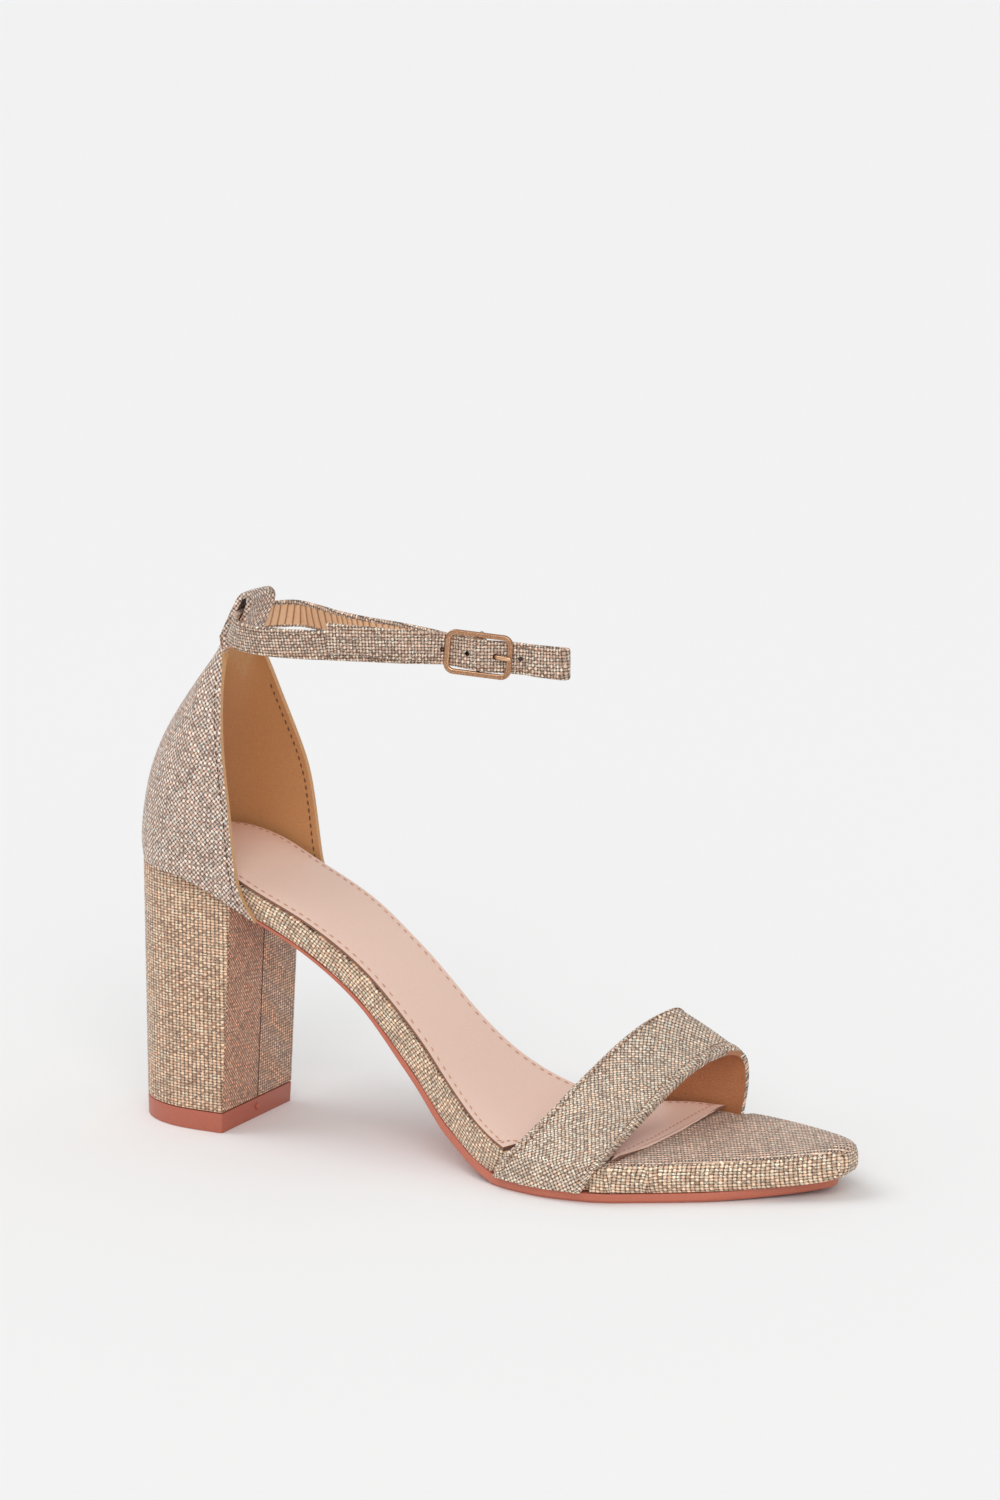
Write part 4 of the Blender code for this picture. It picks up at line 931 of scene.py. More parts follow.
# Each hole's place in pitches from the prong's hole, and where its cut starts out from the bar.
HOLES = ((-2, -0.6 * MM), (-1, 0.4 * MM), (1, 0.4 * MM))
HOLE_TOP = 6.0 * MM
FOLD_RADIUS = 1.2 * MM
LOOP_LEAN = math.radians(26.5)
STRAP_ROLL = math.radians(22.0)

# The band's folds, as in the solid: shares of the reach and of the half span, height in strap widths, lean
# into the loop and outward roll.
STRAP_RUN = (
    (0.640, -0.375, -0.15, 0.00, 0.0), (0.560, -0.560, -0.15, 0.00, 0.2), (0.455, -0.720, -0.15, 0.00, 0.4),
    (0.355, -0.850, -0.16, 0.00, 0.5), (0.255, -0.950, -0.18, 0.05, 0.6), (0.165, -0.985, -0.17, 0.12, 0.7),
    (0.092, -0.900, -0.12, 0.30, 0.6), (0.040, -0.680, -0.05, 0.65, 0.3), (0.010, -0.370, 0.00, 1.00, 0.0),
    (0.000, 0.000, 0.00, 1.00, 0.0), (0.010, 0.370, 0.00, 1.00, 0.0), (0.036, 0.690, 0.00, 0.65, 0.5),
    (0.080, 0.915, -0.03, 0.30, 1.0), (0.142, 0.890, -0.10, 0.10, 1.0), (0.235, 0.715, -0.17, 0.00, 1.0),
    (0.335, 0.590, -0.23, 0.00, 0.9), (0.445, 0.510, -0.29, 0.00, 0.7), (0.550, 0.370, -0.35, 0.00, 0.4),
    (0.650, 0.130, -0.38, 0.00, 0.1), (0.748, -0.070, -0.39, 0.00, 0.0), (0.840, -0.010, -0.39, 0.00, 0.0),
    (0.910, 0.030, -0.41, 0.00, 0.0), (0.975, 0.060, -0.42, 0.00, 0.0),
)
STRAP_TIP = ((0.975, -0.060, -0.42, 0.00, 0.0), (0.920, -0.085, -0.39, 0.00, 0.0))
STRAP_FREE_END = (
    (0.630, -0.525, -0.05, 0.00, 0.1), (0.560, -0.665, 0.00, 0.00, 0.2), (0.455, -0.825, 0.07, 0.00, 0.4),
    (0.365, -0.965, 0.13, 0.00, 0.5),
)


def buckle_axes():
    """Along the buckle, out of its face, and down its width."""
    along = Vector((math.cos(BUCKLE_HEADING) * math.cos(BUCKLE_DROOP),
                    math.sin(BUCKLE_HEADING) * math.cos(BUCKLE_DROOP), -math.sin(BUCKLE_DROOP)))
    out = Vector((math.sin(BUCKLE_HEADING), -math.cos(BUCKLE_HEADING), 0.0))
    return along, out, along.cross(out)


def buckle_point(along_shift, out_shift, across_shift=0.0):
    """A place by its shifts from the bar's middle along the buckle's own axes."""
    along, out, across = buckle_axes()
    return BAR_CENTRE + along * along_shift + out * out_shift + across * across_shift


def strap_rows(table):
    """A table's rows as (place, up direction, thickness)."""
    picked = []
    for reach, span, up, lean, roll in table:
        place = STRAP_START + Vector((ANKLE_REACH * reach, ANKLE_HALF_SPAN * span, STRAP_WIDTH * up))
        lean_angle, roll_angle = LOOP_LEAN * lean, STRAP_ROLL * roll
        upward = Vector((math.sin(lean_angle), -math.sin(roll_angle),
                         math.cos(lean_angle) * math.cos(roll_angle)))
        picked.append((place, upward, STRAP_THICKNESS))
    return picked


def smooth_route(points, pieces):
    """Points along a curve through the given ones: (place, up direction, thickness)."""
    route = []
    for i in range(len(points) - 1):
        before = points[max(i - 1, 0)][0]
        near, far = points[i], points[i + 1]
        after = points[min(i + 2, len(points) - 1)][0]
        for k in range(pieces):
            t = k / pieces
            place = 0.5 * (2 * near[0] + (far[0] - before) * t
                           + (2 * before - 5 * near[0] + 4 * far[0] - after) * t**2
                           + (3 * near[0] - before - 3 * far[0] + after) * t**3)
            route.append((place, near[1].lerp(far[1], t), near[2] + (far[2] - near[2]) * t))
    route.append(points[-1])
    return route


def smooth_line(corners, pieces):
    """Places along a curve through the given ones."""
    upright = Vector((0.0, 0.0, 1.0))
    route = smooth_route([(corner, upright, 1.0) for corner in corners], pieces)
    return [place for place, up, thick in route]


def ankle_strap_route(pieces):
    """Middle line of the band, from its skived end behind the bar to its free end."""
    full, thin = STRAP_THICKNESS, SKIVED_THICKNESS
    turn = BAR_RADIUS + CLEARANCE + thin / 2
    square = -buckle_axes()[2]
    start = [(buckle_point(-6.2 * MM, -turn - 1.0 * MM), square, thin),
             (buckle_point(-3.0 * MM, -turn - 0.4 * MM), square, thin)]
    for degrees in (-90, -55, -20, 15, 50, 80):
        angle = math.radians(degrees)
        start.append((buckle_point(turn * math.cos(angle), turn * math.sin(angle)), square, thin))
    start.append((buckle_point(-2.0 * MM, turn - 0.4 * MM), square, thin))
    start.append((buckle_point(-5.0 * MM, 0.0), square, (full + thin) / 2))
    start.append((buckle_point(-8.5 * MM, -1.2 * MM), square, full))
    run = strap_rows(STRAP_RUN)
    tip = strap_rows(STRAP_TIP)
    middle = (run[-1][0] + tip[0][0]) / 2
    fold = []
    for degrees in (60, 25, -10, -45, -75):
        angle = math.radians(degrees)
        shift = Vector((1.0 + math.cos(angle), math.sin(angle), 0.0)) * FOLD_RADIUS
        fold.append((middle + shift, Vector((0.0, 0.0, 1.0)), full))
    over = turn + thin / 2 + CLEARANCE + full / 2
    under = BAR_SET_BACK - BUCKLE_DEPTH / 2 - CLEARANCE - full / 2
    reach = BUCKLE_LENGTH / 2
    through = [
        (buckle_point(reach + 3.0 * MM, under - 0.2 * MM), square, full),
        (buckle_point(reach - 0.8 * MM, under), square, full),
        (buckle_point(reach * PRONG_HOLE, (over + under) / 2), square, full),
        (buckle_point(0.0, over), square, full),
        (buckle_point(-reach * PRONG_HOLE, (over + under) / 2), square, full),
        (buckle_point(-reach + 0.8 * MM, under), square, full),
    ]
    route = smooth_route(start + run, pieces)[:-1]
    return route + smooth_route([run[-1]] + fold + tip + through + strap_rows(STRAP_FREE_END), pieces)


class Band:
    """The ankle strap's route with lengths, and its sections' directions."""

    def __init__(self):
        fine = ankle_strap_route(14)
        lengths = [0.0]
        for near, far in zip(fine, fine[1:]):
            lengths.append(lengths[-1] + (far[0] - near[0]).length)
        self.length = lengths[-1]
        self.places = []
        count = int(self.length / (0.45 * MM))
        k = 0
        for i in range(count + 1):
            wanted = self.length * i / count
            while k < len(fine) - 2 and lengths[k + 1] < wanted:
                k += 1
            share = (wanted - lengths[k]) / (lengths[k + 1] - lengths[k])
            near, far = fine[k], fine[k + 1]
            self.places.append((near[0].lerp(far[0], share), near[1].lerp(far[1], share),
                                near[2] + (far[2] - near[2]) * share, wanted))

    def axes(self, i):
        """(middle, up, inward, thickness) of a section. Inward is the lining's side."""
        place, upward, thick, length = self.places[i]
        last = len(self.places) - 1
        ahead = (self.places[min(i + 1, last)][0] - self.places[max(i - 1, 0)][0]).normalized()
        up = (upward - ahead * upward.dot(ahead)).normalized()
        return place, up, ahead.cross(up).normalized(), thick

    def point(self, length, across, depth):
        """A point by its length along the band and its shares of the half width and half thickness."""
        i = min(max(round(length / self.length * (len(self.places) - 1)), 0), len(self.places) - 1)
        middle, up, inward, thick = self.axes(i)
        return middle + up * (STRAP_WIDTH / 2 * across) + inward * (thick / 2 * depth)


BAND = Band()
# Half of the band's section: (share of half width, share of half thickness), the fabric's side negative.
BAND_SECTION = (
    (0.0, -1.0), (0.35, -0.99), (0.66, -0.96), (0.735, -0.86), (0.81, -0.96), (0.93, -0.86), (0.985, -0.45),
    (1.0, 0.0), (0.985, 0.50), (0.94, 0.84), (0.84, 0.98), (0.74, 0.95), (0.70, 0.78), (0.35, 0.88),
)
BAND_BORDER = 0.72                  # share of the half width where the gathered lining ends
BAND_FINISHES = (ANKLE_CLOTH, ANKLE_LINING, HOLE_SHADE)
GATHER_DEPTH = 0.42 * MM
GATHER_MIDDLE = 0.55                # height of the folds' middle, as a share of their depth
BORDER_WAVE = 0.10 * MM             # how far the rolled border follows the folds


def gathers_at(length):
    """How much the folds show, from 0 to 1, and how many lie before that length in millimetres."""
    first, last = GATHER_STRETCH
    shown = min(max((length - first) / GATHER_FADES[0], 0.0), 1.0)
    shown *= min(max((last - length) / GATHER_FADES[1], 0.0), 1.0)
    uneven = sum(share * math.sin(length / reach) for reach, share in GATHER_DRIFT)
    return shown, length / GATHER_PITCH + uneven


def make_ankle_strap():
    """Two-layer band with a stitch channel along both edges and a gathered lining on its inner run."""
    half = list(BAND_SECTION)
    section = half + [(0.0, 1.0)] + [(-across, depth) for across, depth in reversed(half[1:])]
    points, cloth_places = [], []
    for number in range(len(BAND.places)):
        middle, up, inward, thick = BAND.axes(number)
        length = BAND.places[number][3] / MM
        shown, folds = gathers_at(length)
        for across, depth in section:
            gather = 0.0
            if depth > 0.7 and abs(across) < BAND_BORDER:
                gather = GATHER_DEPTH * (abs(math.sin(math.pi * folds)) - GATHER_MIDDLE) * shown
            elif depth > 0.8:
                gather = BORDER_WAVE * math.sin(2 * math.pi * folds) * shown
            points.append(middle + up * (STRAP_WIDTH / 2 * across) + inward * (thick / 2 * depth + gather))
            cloth_places.append((length, STRAP_WIDTH / 2 * across / MM))
    rings, size = len(BAND.places), len(section)
    band = new_piece("ankle_strap_band", points, tube_faces(rings, size))
    lay_listed_cloth(band, cloth_places)
    lining_first, lining_last = len(half) - 3, size - len(half) + 2
    for number, face in enumerate(band.data.polygons[:(rings - 1) * size]):
        face.material_index = 1 if lining_first <= number % size <= lining_last else 0
    for material in BAND_FINISHES:
        band.data.materials.append(material)
    turn_outward(band)
    for cutter in band_cutters():
        use_modifier(band, "BOOLEAN", operation="DIFFERENCE", object=cutter, solver="EXACT")
        bpy.data.objects.remove(cutter, do_unlink=True)
    pick(band)
    smooth_under(40)
    dress(band, "lurex_fabric")
    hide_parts("ankle_strap")


def rod(name, start, end, radius, sides=16):
    """A round bar between two points."""
    run = end - start
    drop_selection()
    bpy.ops.mesh.primitive_cylinder_add(vertices=sides, radius=radius, depth=run.length,
                                        location=(start + end) / 2,
                                        rotation=run.to_track_quat("Z", "Y").to_euler())
    return settle(named(name))


WIRE_SIDES = 16
WIRE_END = 0.55                     # how far a wire narrows at its ends


def wire(name, path, thick, wide, across, end=WIRE_END):
    """A rod with an oval section along a path. across is the direction of its width."""
    points = []
    last = len(path) - 1
    for number, place in enumerate(path):
        ahead = (path[min(number + 1, last)] - path[max(number - 1, 0)]).normalized()
        normal = ahead.cross(across).normalized()
        scale = end if number in (0, last) else 1.0
        for side in range(WIRE_SIDES):
            angle = 2 * math.pi * side / WIRE_SIDES
            points.append(place + normal * (thick / 2 * scale * math.cos(angle))
                          + across * (wide / 2 * scale * math.sin(angle)))
    piece = new_piece(name, points, tube_faces(len(path), WIRE_SIDES))
    turn_outward(piece)
    smooth_under(50)
    return piece


def prong_path():
    """From an open eye round the bar, under the strap, up through its hole and on to the frame's rim."""
    eye = BAR_RADIUS + CLEARANCE + PRONG_THICKNESS / 2
    reach = BUCKLE_LENGTH / 2
    rest = BAR_SET_BACK + BUCKLE_DEPTH / 2 + CLEARANCE + PRONG_THICKNESS / 2
    corners = []
    for degrees in range(250, 0, -22):      # the eye, open where the prong leaves it
        angle = math.radians(degrees)
        corners.append(buckle_point(eye * math.cos(angle), eye * math.sin(angle)))
    corners.append(buckle_point(reach * 0.30, 0.0))
    corners.append(buckle_point(reach * PRONG_HOLE, rest * 0.42))
    corners.append(buckle_point(reach * 0.60, rest * 0.86))
    corners.append(buckle_point(reach - BUCKLE_WIRE * 1.1, rest))
    corners.append(buckle_point(reach - BUCKLE_WIRE * 0.1, rest))
    return smooth_line(corners, 4)


def band_cutters():
    """Round holes, the slot at the bar and the way of the prong."""
    reach = BUCKLE_LENGTH / 2
    axes = buckle_axes()
    cutters = []
    for number, low in HOLES:
        shift = reach * PRONG_HOLE + number * HOLE_PITCH
        cutters.append(rod("hole_cutter_%d" % (number + 3), buckle_point(shift, low),
                           buckle_point(shift, HOLE_TOP), HOLE_RADIUS, 20))
    wrap = BAR_RADIUS + 2 * CLEARANCE + SKIVED_THICKNESS
    half_slot = PRONG_WIDTH / 2 + CLEARANCE
    cutters.append(rod("slot_cutter", buckle_point(0.0, 0.0, -half_slot),
                       buckle_point(0.0, 0.0, half_slot), wrap, 24))
    path = [place for place in prong_path() if (place - BAR_CENTRE).dot(axes[0]) > BAR_RADIUS + CLEARANCE]
    cutters.append(wire("prong_way_cutter", path, PRONG_THICKNESS + 2 * CLEARANCE,
                        PRONG_WIDTH + 2 * CLEARANCE, axes[2], 1.0))
    for cutter in cutters:
        cutter.data.materials.clear()
        for material in BAND_FINISHES:
            cutter.data.materials.append(material)
        # Painted shade: every face that a cutter leaves takes the hole colour.
        paint(cutter, 2, lambda middle, normal: True)
    return cutters


# Painted highlight: the frame's inner rim takes the bright prong gold.
RIM_START = 0.45                    # the brighter inner rim begins this far in, in wire widths


def buckle_matrix():
    """Turns a buckle modelled lying on the floor plane, its length on X, into its place."""
    along, out, across = buckle_axes()
    return Matrix.Translation(BAR_CENTRE) @ Matrix((along, -across, out)).transposed().to_4x4()


def make_buckle():
    """Cast frame: a bevelled plate with its window cut out and a painted highlight on its inner rim, and the
    bar on two lugs behind it.
    """
    inner_half = STRAP_WIDTH / 2 + BUCKLE_SLACK
    outer_half = inner_half + BUCKLE_WIRE
    drop_selection()
    bpy.ops.mesh.primitive_cube_add(size=1.0, location=(0.0, 0.0, BAR_SET_BACK))
    frame_piece = named("buckle_rim")
    frame_piece.scale = (BUCKLE_LENGTH, 2 * outer_half, BUCKLE_DEPTH)
    settle(frame_piece)
    bpy.ops.object.mode_set(mode="EDIT")

    def upright(first, second):
        return abs(first.x - second.x) < 0.01 * MM and abs(first.y - second.y) < 0.01 * MM

    select_edges(frame_piece, upright)
    bpy.ops.mesh.bevel(offset=BUCKLE_CORNER, segments=10, affect="EDGES")
    select_faces(frame_piece, lambda middle, normal: abs(normal.z) > 0.9)
    bpy.ops.mesh.inset(thickness=BUCKLE_WIRE, depth=0.0)
    bpy.ops.mesh.bridge_edge_loops()
    bpy.ops.object.mode_set(mode="OBJECT")
    soften(frame_piece, 0.42 * MM, 0, 50.0, 4)
    smooth_under(35)
    # Painted highlight: inner rim faces that look into the window get the bright gold.
    for face in frame_piece.data.polygons:
        inside = abs(face.center.x) < BUCKLE_LENGTH / 2 - BUCKLE_WIRE * RIM_START
        inside = inside and abs(face.center.y) < outer_half - BUCKLE_WIRE * RIM_START
        toward = face.normal.x * face.center.x + face.normal.y * face.center.y < 0.0
        face.material_index = 1 if inside and toward and abs(face.normal.z) < 0.85 else 0
    frame_piece.data.transform(buckle_matrix())
    rail = inner_half + BUCKLE_WIRE / 2
    bar = rod("buckle_bar", buckle_point(0.0, 0.0, -rail), buckle_point(0.0, 0.0, rail), BAR_RADIUS, 20)
    smooth_under(35)
    dress(frame_piece, "buckle_metal", BUCKLE_METAL, PRONG_GOLD_AND_RIM_HIGHLIGHT)
    dress(bar, "buckle_metal", BUCKLE_METAL)
    for side, name in ((-1, "buckle_lug_low"), (1, "buckle_lug_high")):
        where = side * (inner_half + BUCKLE_WIRE * 0.52)
        lug = rod(name, buckle_point(0.0, -BAR_RADIUS * 0.9, where), buckle_point(0.0, BAR_SET_BACK, where),
                  BUCKLE_WIRE * 0.42, 16)
        smooth_under(35)
        dress(lug, "buckle_metal", BUCKLE_METAL)
    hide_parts("buckle_frame")
    prong = wire("buckle_tongue", prong_path(), PRONG_THICKNESS, PRONG_WIDTH, buckle_axes()[2])
    dress(prong, "buckle_metal", PRONG_GOLD_AND_RIM_HIGHLIGHT)
    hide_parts("buckle_prong")


# Stitches

STITCH_PITCH = 2.3 * MM
SOCK_STITCH_PITCH = 2.4 * MM
STITCH_BOW = 0.10 * MM
# Length, width and height of a stitch in millimetres.
ANKLE_STITCH = (1.5, 0.30, 0.10)
SOCK_STITCH = (1.6, 0.36, 0.12)
COUNTER_STITCH = (1.6, 0.48, 0.20)
FOREFOOT_STITCH = (1.5, 0.34, 0.14)


def stitch_row(name, places, size, material, slot="lurex_fabric"):
    """One row of stitches. places gives (middle, direction, outward normal) of each."""
    long, wide, proud = size
    drop_selection()
    bpy.ops.mesh.primitive_uv_sphere_add(segments=8, ring_count=6, radius=0.5)
    pattern = named(name)
    pattern.scale = (long * MM, wide * MM, proud * 2 * MM)
    settle(pattern)
    model = [vert.co.copy() for vert in pattern.data.vertices]
    shape = [tuple(face.vertices) for face in pattern.data.polygons]
    points, faces = [], []
    for middle, direction, normal in places:
        ahead = direction.normalized()
        out = (normal - ahead * normal.dot(ahead)).normalized()
        side = out.cross(ahead)
        first = len(points)
        for place in model:
            bend = STITCH_BOW * (1.0 - (2 * place.x / (long * MM)) ** 2)
            points.append(middle + ahead * place.x + side * place.y + out * (place.z + bend))
        faces += [tuple(corner + first for corner in corners) for corners in shape]
    bpy.data.objects.remove(pattern, do_unlink=True)
    row = pick(new_piece(name, points, faces))
    bpy.ops.object.shade_smooth()
    dress(row, slot, material)


def along_line(points, spacing, skip):
    """Evenly spaced (place, direction) along a line of points, leaving out that length at both ends."""
    lengths = [0.0]
    for near, far in zip(points, points[1:]):
        lengths.append(lengths[-1] + (far - near).length)
    found = []
    wanted = skip + spacing / 2
    k = 0
    while wanted < lengths[-1] - skip:
        while lengths[k + 1] < wanted:
            k += 1
        share = (wanted - lengths[k]) / (lengths[k + 1] - lengths[k])
        found.append((points[k].lerp(points[k + 1], share), points[k + 1] - points[k]))
        wanted += spacing
    return found


def skin_of(piece):
    """The piece's faces, ready for finding points on them."""
    return BVHTree.FromPolygons([vert.co for vert in piece.data.vertices],
                                [tuple(face.vertices) for face in piece.data.polygons])


def cut_points(piece, axis, level):
    """Points where the piece's edges pass a plane square to an axis."""
    found = []
    points = piece.data.vertices
    for edge in piece.data.edges:
        near, far = points[edge.vertices[0]].co, points[edge.vertices[1]].co
        if (near[axis] - level) * (far[axis] - level) < 0.0:
            found.append(near.lerp(far, (level - near[axis]) / (far[axis] - near[axis])))
    return found


CHANNEL_PLACE = 0.735               # the stitch channels' shares of the half width and half thickness
CHANNEL_DEPTH = -0.90
ANKLE_SEAM_START = 18.0 * MM
ANKLE_SEAM_END = 1.5 * MM


def make_ankle_stitches():
    """Two rows on the fabric's side of the ankle strap, in their channels."""
    for across, name in ((CHANNEL_PLACE, "ankle_stitches_upper"), (-CHANNEL_PLACE, "ankle_stitches_lower")):
        places = []
        length = ANKLE_SEAM_START
        while length < BAND.length - ANKLE_SEAM_END:
            middle = BAND.point(length, across, CHANNEL_DEPTH)
            ahead = (BAND.point(length + 1.0 * MM, across, CHANNEL_DEPTH)
                     - BAND.point(length - 1.0 * MM, across, CHANNEL_DEPTH))
            outward = BAND.point(length, across, -2.0) - BAND.point(length, across, 0.0)
            places.append((middle, ahead, outward))
            length += STITCH_PITCH
        stitch_row(name, places, ANKLE_STITCH, TAN_THREAD)


SOCK_STITCH_INSET = 2.0 * MM
PRESSED_DEPTH = 0.16 * MM           # the line that the sock's stitches press into the leather
PRESSED_WIDTH = 1.1 * MM
PRESSED_REACH = 2.4 * MM


def sock_outline():
    """The sock's plan outline, from the outer side round the front to the inner side."""
    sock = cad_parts["insole_sock"]
    low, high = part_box("insole_sock")
    outer, inner = [], []
    x = low.x + 0.6 * MM
    while x < high.x - 0.2 * MM:
        across = [point.y for point in cut_points(sock, 0, x)]
        outer.append(Vector((x, min(across), 0.0)))
        inner.append(Vector((x, max(across), 0.0)))
        x += 1.2 * MM
    return outer + inner[::-1]


def make_sock_stitches(sock):
    """A row beside the sock's edge, in a line that it presses into the leather."""
    outline = sock_outline()
    row = []
    last = len(outline) - 1
    for i, place in enumerate(outline):
        ahead = (outline[min(i + 2, last)] - outline[max(i - 2, 0)]).normalized()
        row.append(place + Vector((-ahead.y, ahead.x, 0.0)) * SOCK_STITCH_INSET)
    skin = skin_of(sock)
    places = []
    for place, ahead in along_line(row, SOCK_STITCH_PITCH, 4 * MM):
        hit, normal, face, away = skin.ray_cast(Vector((place.x, place.y, 0.2)), Vector((0.0, 0.0, -1.0)))
        if hit and normal.z > 0.3:
            level = ahead - normal * ahead.dot(normal)
            places.append((hit, level, normal))
    tree = KDTree(len(places))
    for number, (middle, ahead, normal) in enumerate(places):
        tree.insert(middle, number)
    tree.balance()
    for vert in sock.data.vertices:
        near, number, away = tree.find(vert.co)
        if away < PRESSED_REACH and vert.normal.z > 0.3:
            vert.co -= vert.normal * PRESSED_DEPTH * math.exp(-(away / PRESSED_WIDTH) ** 2)
    stitch_row("sock_stitches", places, SOCK_STITCH, PINK_THREAD, "sock_leather")


COUNTER_STITCH_INSET = 1.9 * MM
COUNTER_STEP = 1.5 * MM
# Name, side of the wall, where along Y the search for its face starts and which way it goes, and how far
# below the tongue the row ends, in millimetres.
COUNTER_ROWS = (
    ("counter_stitches_outer", -1, -0.08, 1.0, 6.0),
    ("counter_stitches_lining", 1, 0.0, 1.0, 12.0),
    ("counter_stitches_inner", 1, 0.08, -1.0, 12.0),
)


def make_counter_stitches(counter):
    """Rows beside both front edges, outside on the outer wall and inside on the inner one."""
    skin = skin_of(counter)
    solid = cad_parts["heel_counter"]
    for name, side, start_y, way, drop in COUNTER_ROWS:
        edge = []
        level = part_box("heel_counter")[0].z + 4 * MM
        while level < TONGUE_ROOT - drop * MM:
            points = [point for point in cut_points(solid, 2, level) if point.y * side > 0.0]
            if points:
                front = max(points, key=lambda point: point.x)
                edge.append(Vector((front.x - COUNTER_STITCH_INSET, start_y, level)))
            level += COUNTER_STEP
        toward = Vector((0.0, way, 0.0))
        places = []
        for place, ahead in along_line(edge, STITCH_PITCH, 1 * MM):
            hit, normal, face, away = skin.ray_cast(place, toward)
            if hit and hit.y * side > 0.0:
                places.append((hit, ahead, -toward if normal.dot(toward) > 0 else normal))
        stitch_row(name, places, COUNTER_STITCH, DARK_THREAD)


# The forefoot strap's outer edges in millimetres, from its outer foot to its inner one.
STRAP_BACK_EDGE = ((112.9, -32.1, 3.5), (119.8, -29.8, 13.5), (128.4, -4.1, 28.3), (137.6, 27.4, 40.2),
                   (137.2, 40.5, 30.2), (131.2, 37.7, 3.1))
STRAP_FRONT_EDGE = ((141.9, -34.4, 3.1), (148.2, -28.0, 14.2), (152.5, 0.2, 25.6), (157.3, 28.5, 31.1),
                    (159.2, 40.1, 22.9), (157.0, 39.4, 3.1))
EDGE_PIECES = 14                    # pieces of an edge between two of its places
FOLD_HEIGHT = 0.30 * MM
FOLD_THICKNESS = 0.12 * MM
FOLD_STITCH_INSET = 0.35 * MM       # from the folded band's inner edge
# A folded band's section: shares of its width and height.
FOLD_PROFILE = ((0.02, 0.0), (0.06, 0.8), (0.3, 1.0), (0.7, 1.0), (0.94, 0.8), (1.0, -0.3))


def on_strap(skin, place):
    """The nearest point of the strap's outer face, and its normal."""
    outward = Vector((0.0, place.y - STRAP_ARCH_CENTRE.y, place.z - STRAP_ARCH_CENTRE.z))
    return skin.find_nearest(place + outward * 0.1)[:2]


def folded_band(name, skin, edge, other, wide):
    """The strap's fabric folded back along an edge: a low raised band lying on its outer face."""
    points, faces, cloth_places = [], [], []
    length = 0.0
    for i, (near, far) in enumerate(zip(edge, other)):
        if i:
            length += (near - edge[i - 1]).length / MM
        toward = (far - near).normalized()
        for inset, lift in FOLD_PROFILE:
            hit, normal = on_strap(skin, near + toward * (inset * wide))
            points.append(hit + normal * FOLD_HEIGHT * lift)
            cloth_places.append((length, inset * wide / MM))
    size = len(FOLD_PROFILE)
    for first in range(0, (len(edge) - 1) * size, size):
        for here in range(first, first + size - 1):
            faces.append((here, here + 1, here + size + 1, here + size))
    band = new_piece(name, points, faces)
    lay_listed_cloth(band, cloth_places)
    use_modifier(band, "SOLIDIFY", thickness=FOLD_THICKNESS, offset=0.0)
    turn_outward(band)
    smooth_under(50)
    dress(band, "lurex_fabric", STRAP_CLOTH)


# Wrinkles of the forefoot strap's lining: both ends in metres, width and depth in millimetres.
LINING_FOLDS = (
    ((0.1560, 0.0090, 0.0262), (0.1400, 0.0200, 0.0335), 0.9, 0.30),
    ((0.1575, 0.0150, 0.0275), (0.1400, 0.0270, 0.0350), 0.8, -0.22),
    ((0.1580, 0.0200, 0.0285), (0.1420, 0.0330, 0.0340), 0.9, 0.32),
    ((0.1590, 0.0280, 0.0285), (0.1430, 0.0375, 0.0290), 0.8, -0.20),
    ((0.1590, 0.0330, 0.0270), (0.1420, 0.0385, 0.0250), 0.9, 0.30),
    ((0.1585, 0.0370, 0.0230), (0.1400, 0.0385, 0.0200), 0.9, 0.26),
    ((0.1580, 0.0380, 0.0180), (0.1420, 0.0380, 0.0160), 0.8, -0.18),
)
LINING_FACING = (-0.1, -0.75, -0.6)


def make_forefoot_trim(strap):
    """Folded bands along the strap's two edges, each with its row of stitches."""
    skin = skin_of(strap)
    front, back = [smooth_line([Vector(place) * MM for place in table], EDGE_PIECES)
                   for table in (STRAP_FRONT_EDGE, STRAP_BACK_EDGE)]
    for name, near, far, wide in (("front", front, back, 1.9 * MM), ("back", back, front, 1.5 * MM)):
        folded_band("forefoot_fold_" + name, skin, near, far, wide)
        row = []
        for edge, other in zip(near, far):
            row.append(edge + (other - edge).normalized() * (wide + FOLD_STITCH_INSET))
        places = []
        for place, ahead in along_line(row, STITCH_PITCH, 3 * MM):
            hit, normal = on_strap(skin, place)
            places.append((hit, ahead, normal))
        stitch_row("forefoot_stitches_" + name, places, FOREFOOT_STITCH, TAN_THREAD)
    for start, end, width, depth in LINING_FOLDS:
        crease(strap, start, end, width * MM, depth * MM, LINING_FACING)


# Stage

SURROUNDINGS = 0.60
KEY_FROM = (-0.62, -0.20, 1.0)      # direction to the main light
KEY_STRENGTH = 0.86
KEY_SOFTNESS = math.radians(40)
FRONT_FROM = (0.45, -0.85, 0.60)
FRONT_STRENGTH = 1.0
FRONT_SOFTNESS = math.radians(44)


def add_sky_panel(name, direction, strength, softness):
    """A far, wide light, so that the floor is lit evenly."""
    data = bpy.data.lights.new(name, "SUN")
    data.energy = strength
    data.angle = softness
    light = bpy.data.objects.new(name, data)
    scene.collection.objects.link(light)
    light.rotation_euler = Vector(direction).to_track_quat("Z", "Y").to_euler()


FLOOR_SIZE = 40.0


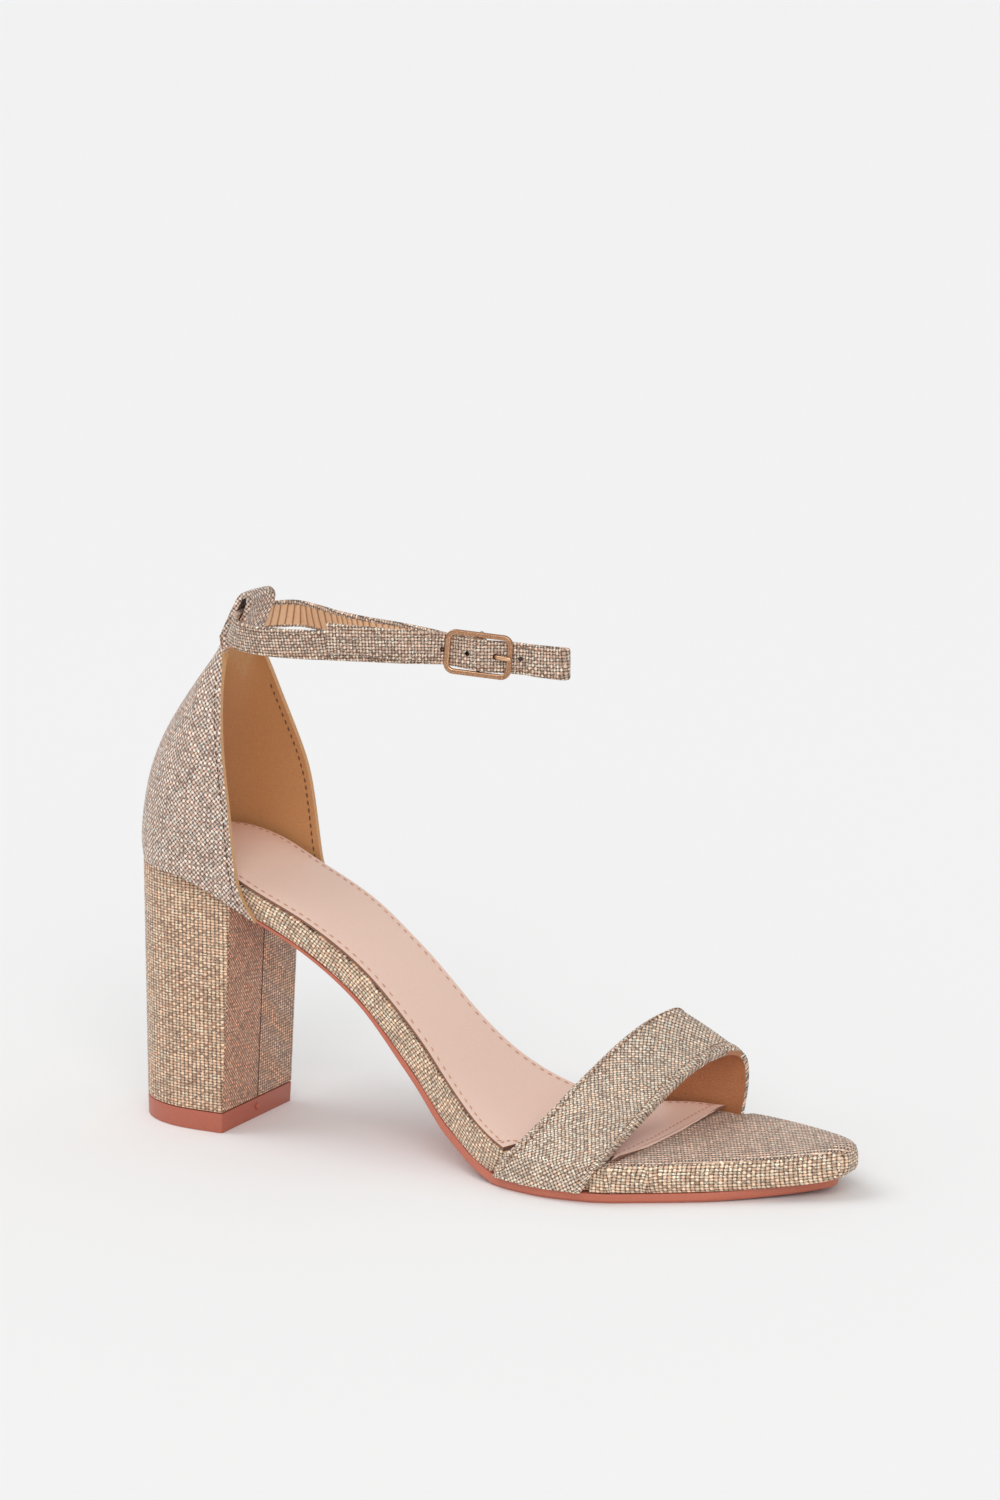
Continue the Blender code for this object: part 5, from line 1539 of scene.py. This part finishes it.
def make_studio():
    """Plain pale floor, soft light from the upper left, and bright surroundings."""
    drop_selection()
    bpy.ops.mesh.primitive_plane_add(size=FLOOR_SIZE, location=(0.0, 0.0, 0.0))
    floor = named("studio_floor")
    material, w, shader = new_material("studio_floor_paper")
    place = solid_place(w)
    grain = w.cloudy(place, 0.6, 2.0)
    w.feed(w.mix(grain, tint(243, 243, 243), tint(246, 246, 246)), shader.inputs["Base Color"])
    shader.inputs["Roughness"].default_value = 0.75
    shader.inputs["Specular IOR Level"].default_value = 0.2
    floor.data.materials.append(material)
    world = bpy.data.worlds.new("studio_surroundings")
    scene.world = world
    world.use_nodes = True
    background = world.node_tree.nodes["Background"]
    background.inputs["Color"].default_value = (1.0, 1.0, 1.0, 1.0)
    background.inputs["Strength"].default_value = SURROUNDINGS
    add_sky_panel("key_panel", KEY_FROM, KEY_STRENGTH, KEY_SOFTNESS)
    add_sky_panel("front_panel", FRONT_FROM, FRONT_STRENGTH, FRONT_SOFTNESS)


# Camera, as far round, as high and as far away as the photograph's was.
CAMERA_TARGET = Vector((0.0987, 0.0, 0.0797))
CAMERA_AZIMUTH = math.radians(27.7)
CAMERA_ELEVATION = math.radians(13.3)
CAMERA_DISTANCE = 1.4
CAMERA_LENS = 117.6
CAMERA_SHIFT = 0.09


def make_camera():
    """Camera that looks at the shoe as the photograph's did."""
    away = Vector((
        math.sin(CAMERA_AZIMUTH) * math.cos(CAMERA_ELEVATION),
        -math.cos(CAMERA_AZIMUTH) * math.cos(CAMERA_ELEVATION),
        math.sin(CAMERA_ELEVATION),
    ))
    data = bpy.data.cameras.new("photo_camera")
    data.lens = CAMERA_LENS
    data.sensor_width = 36.0
    data.shift_y = CAMERA_SHIFT
    data.clip_start = 0.05
    data.clip_end = 60.0
    camera = bpy.data.objects.new("photo_camera", data)
    scene.collection.objects.link(camera)
    camera.location = CAMERA_TARGET + away * CAMERA_DISTANCE
    camera.rotation_euler = (-away).to_track_quat("-Z", "Y").to_euler()
    scene.camera = camera


def make_all():
    make_camera()
    make_studio()
    make_heel_cover()
    make_heel_tip()
    make_rand()
    make_outsole()
    sock = make_sock()
    counter = make_counter()
    strap = make_toe_strap()
    make_ankle_strap()
    make_buckle()
    make_sock_stitches(sock)
    make_counter_stitches(counter)
    make_forefoot_trim(strap)
    make_ankle_stitches()


scene.view_settings.view_transform = "Standard"
make_all()
bpy.context.view_layer.update()
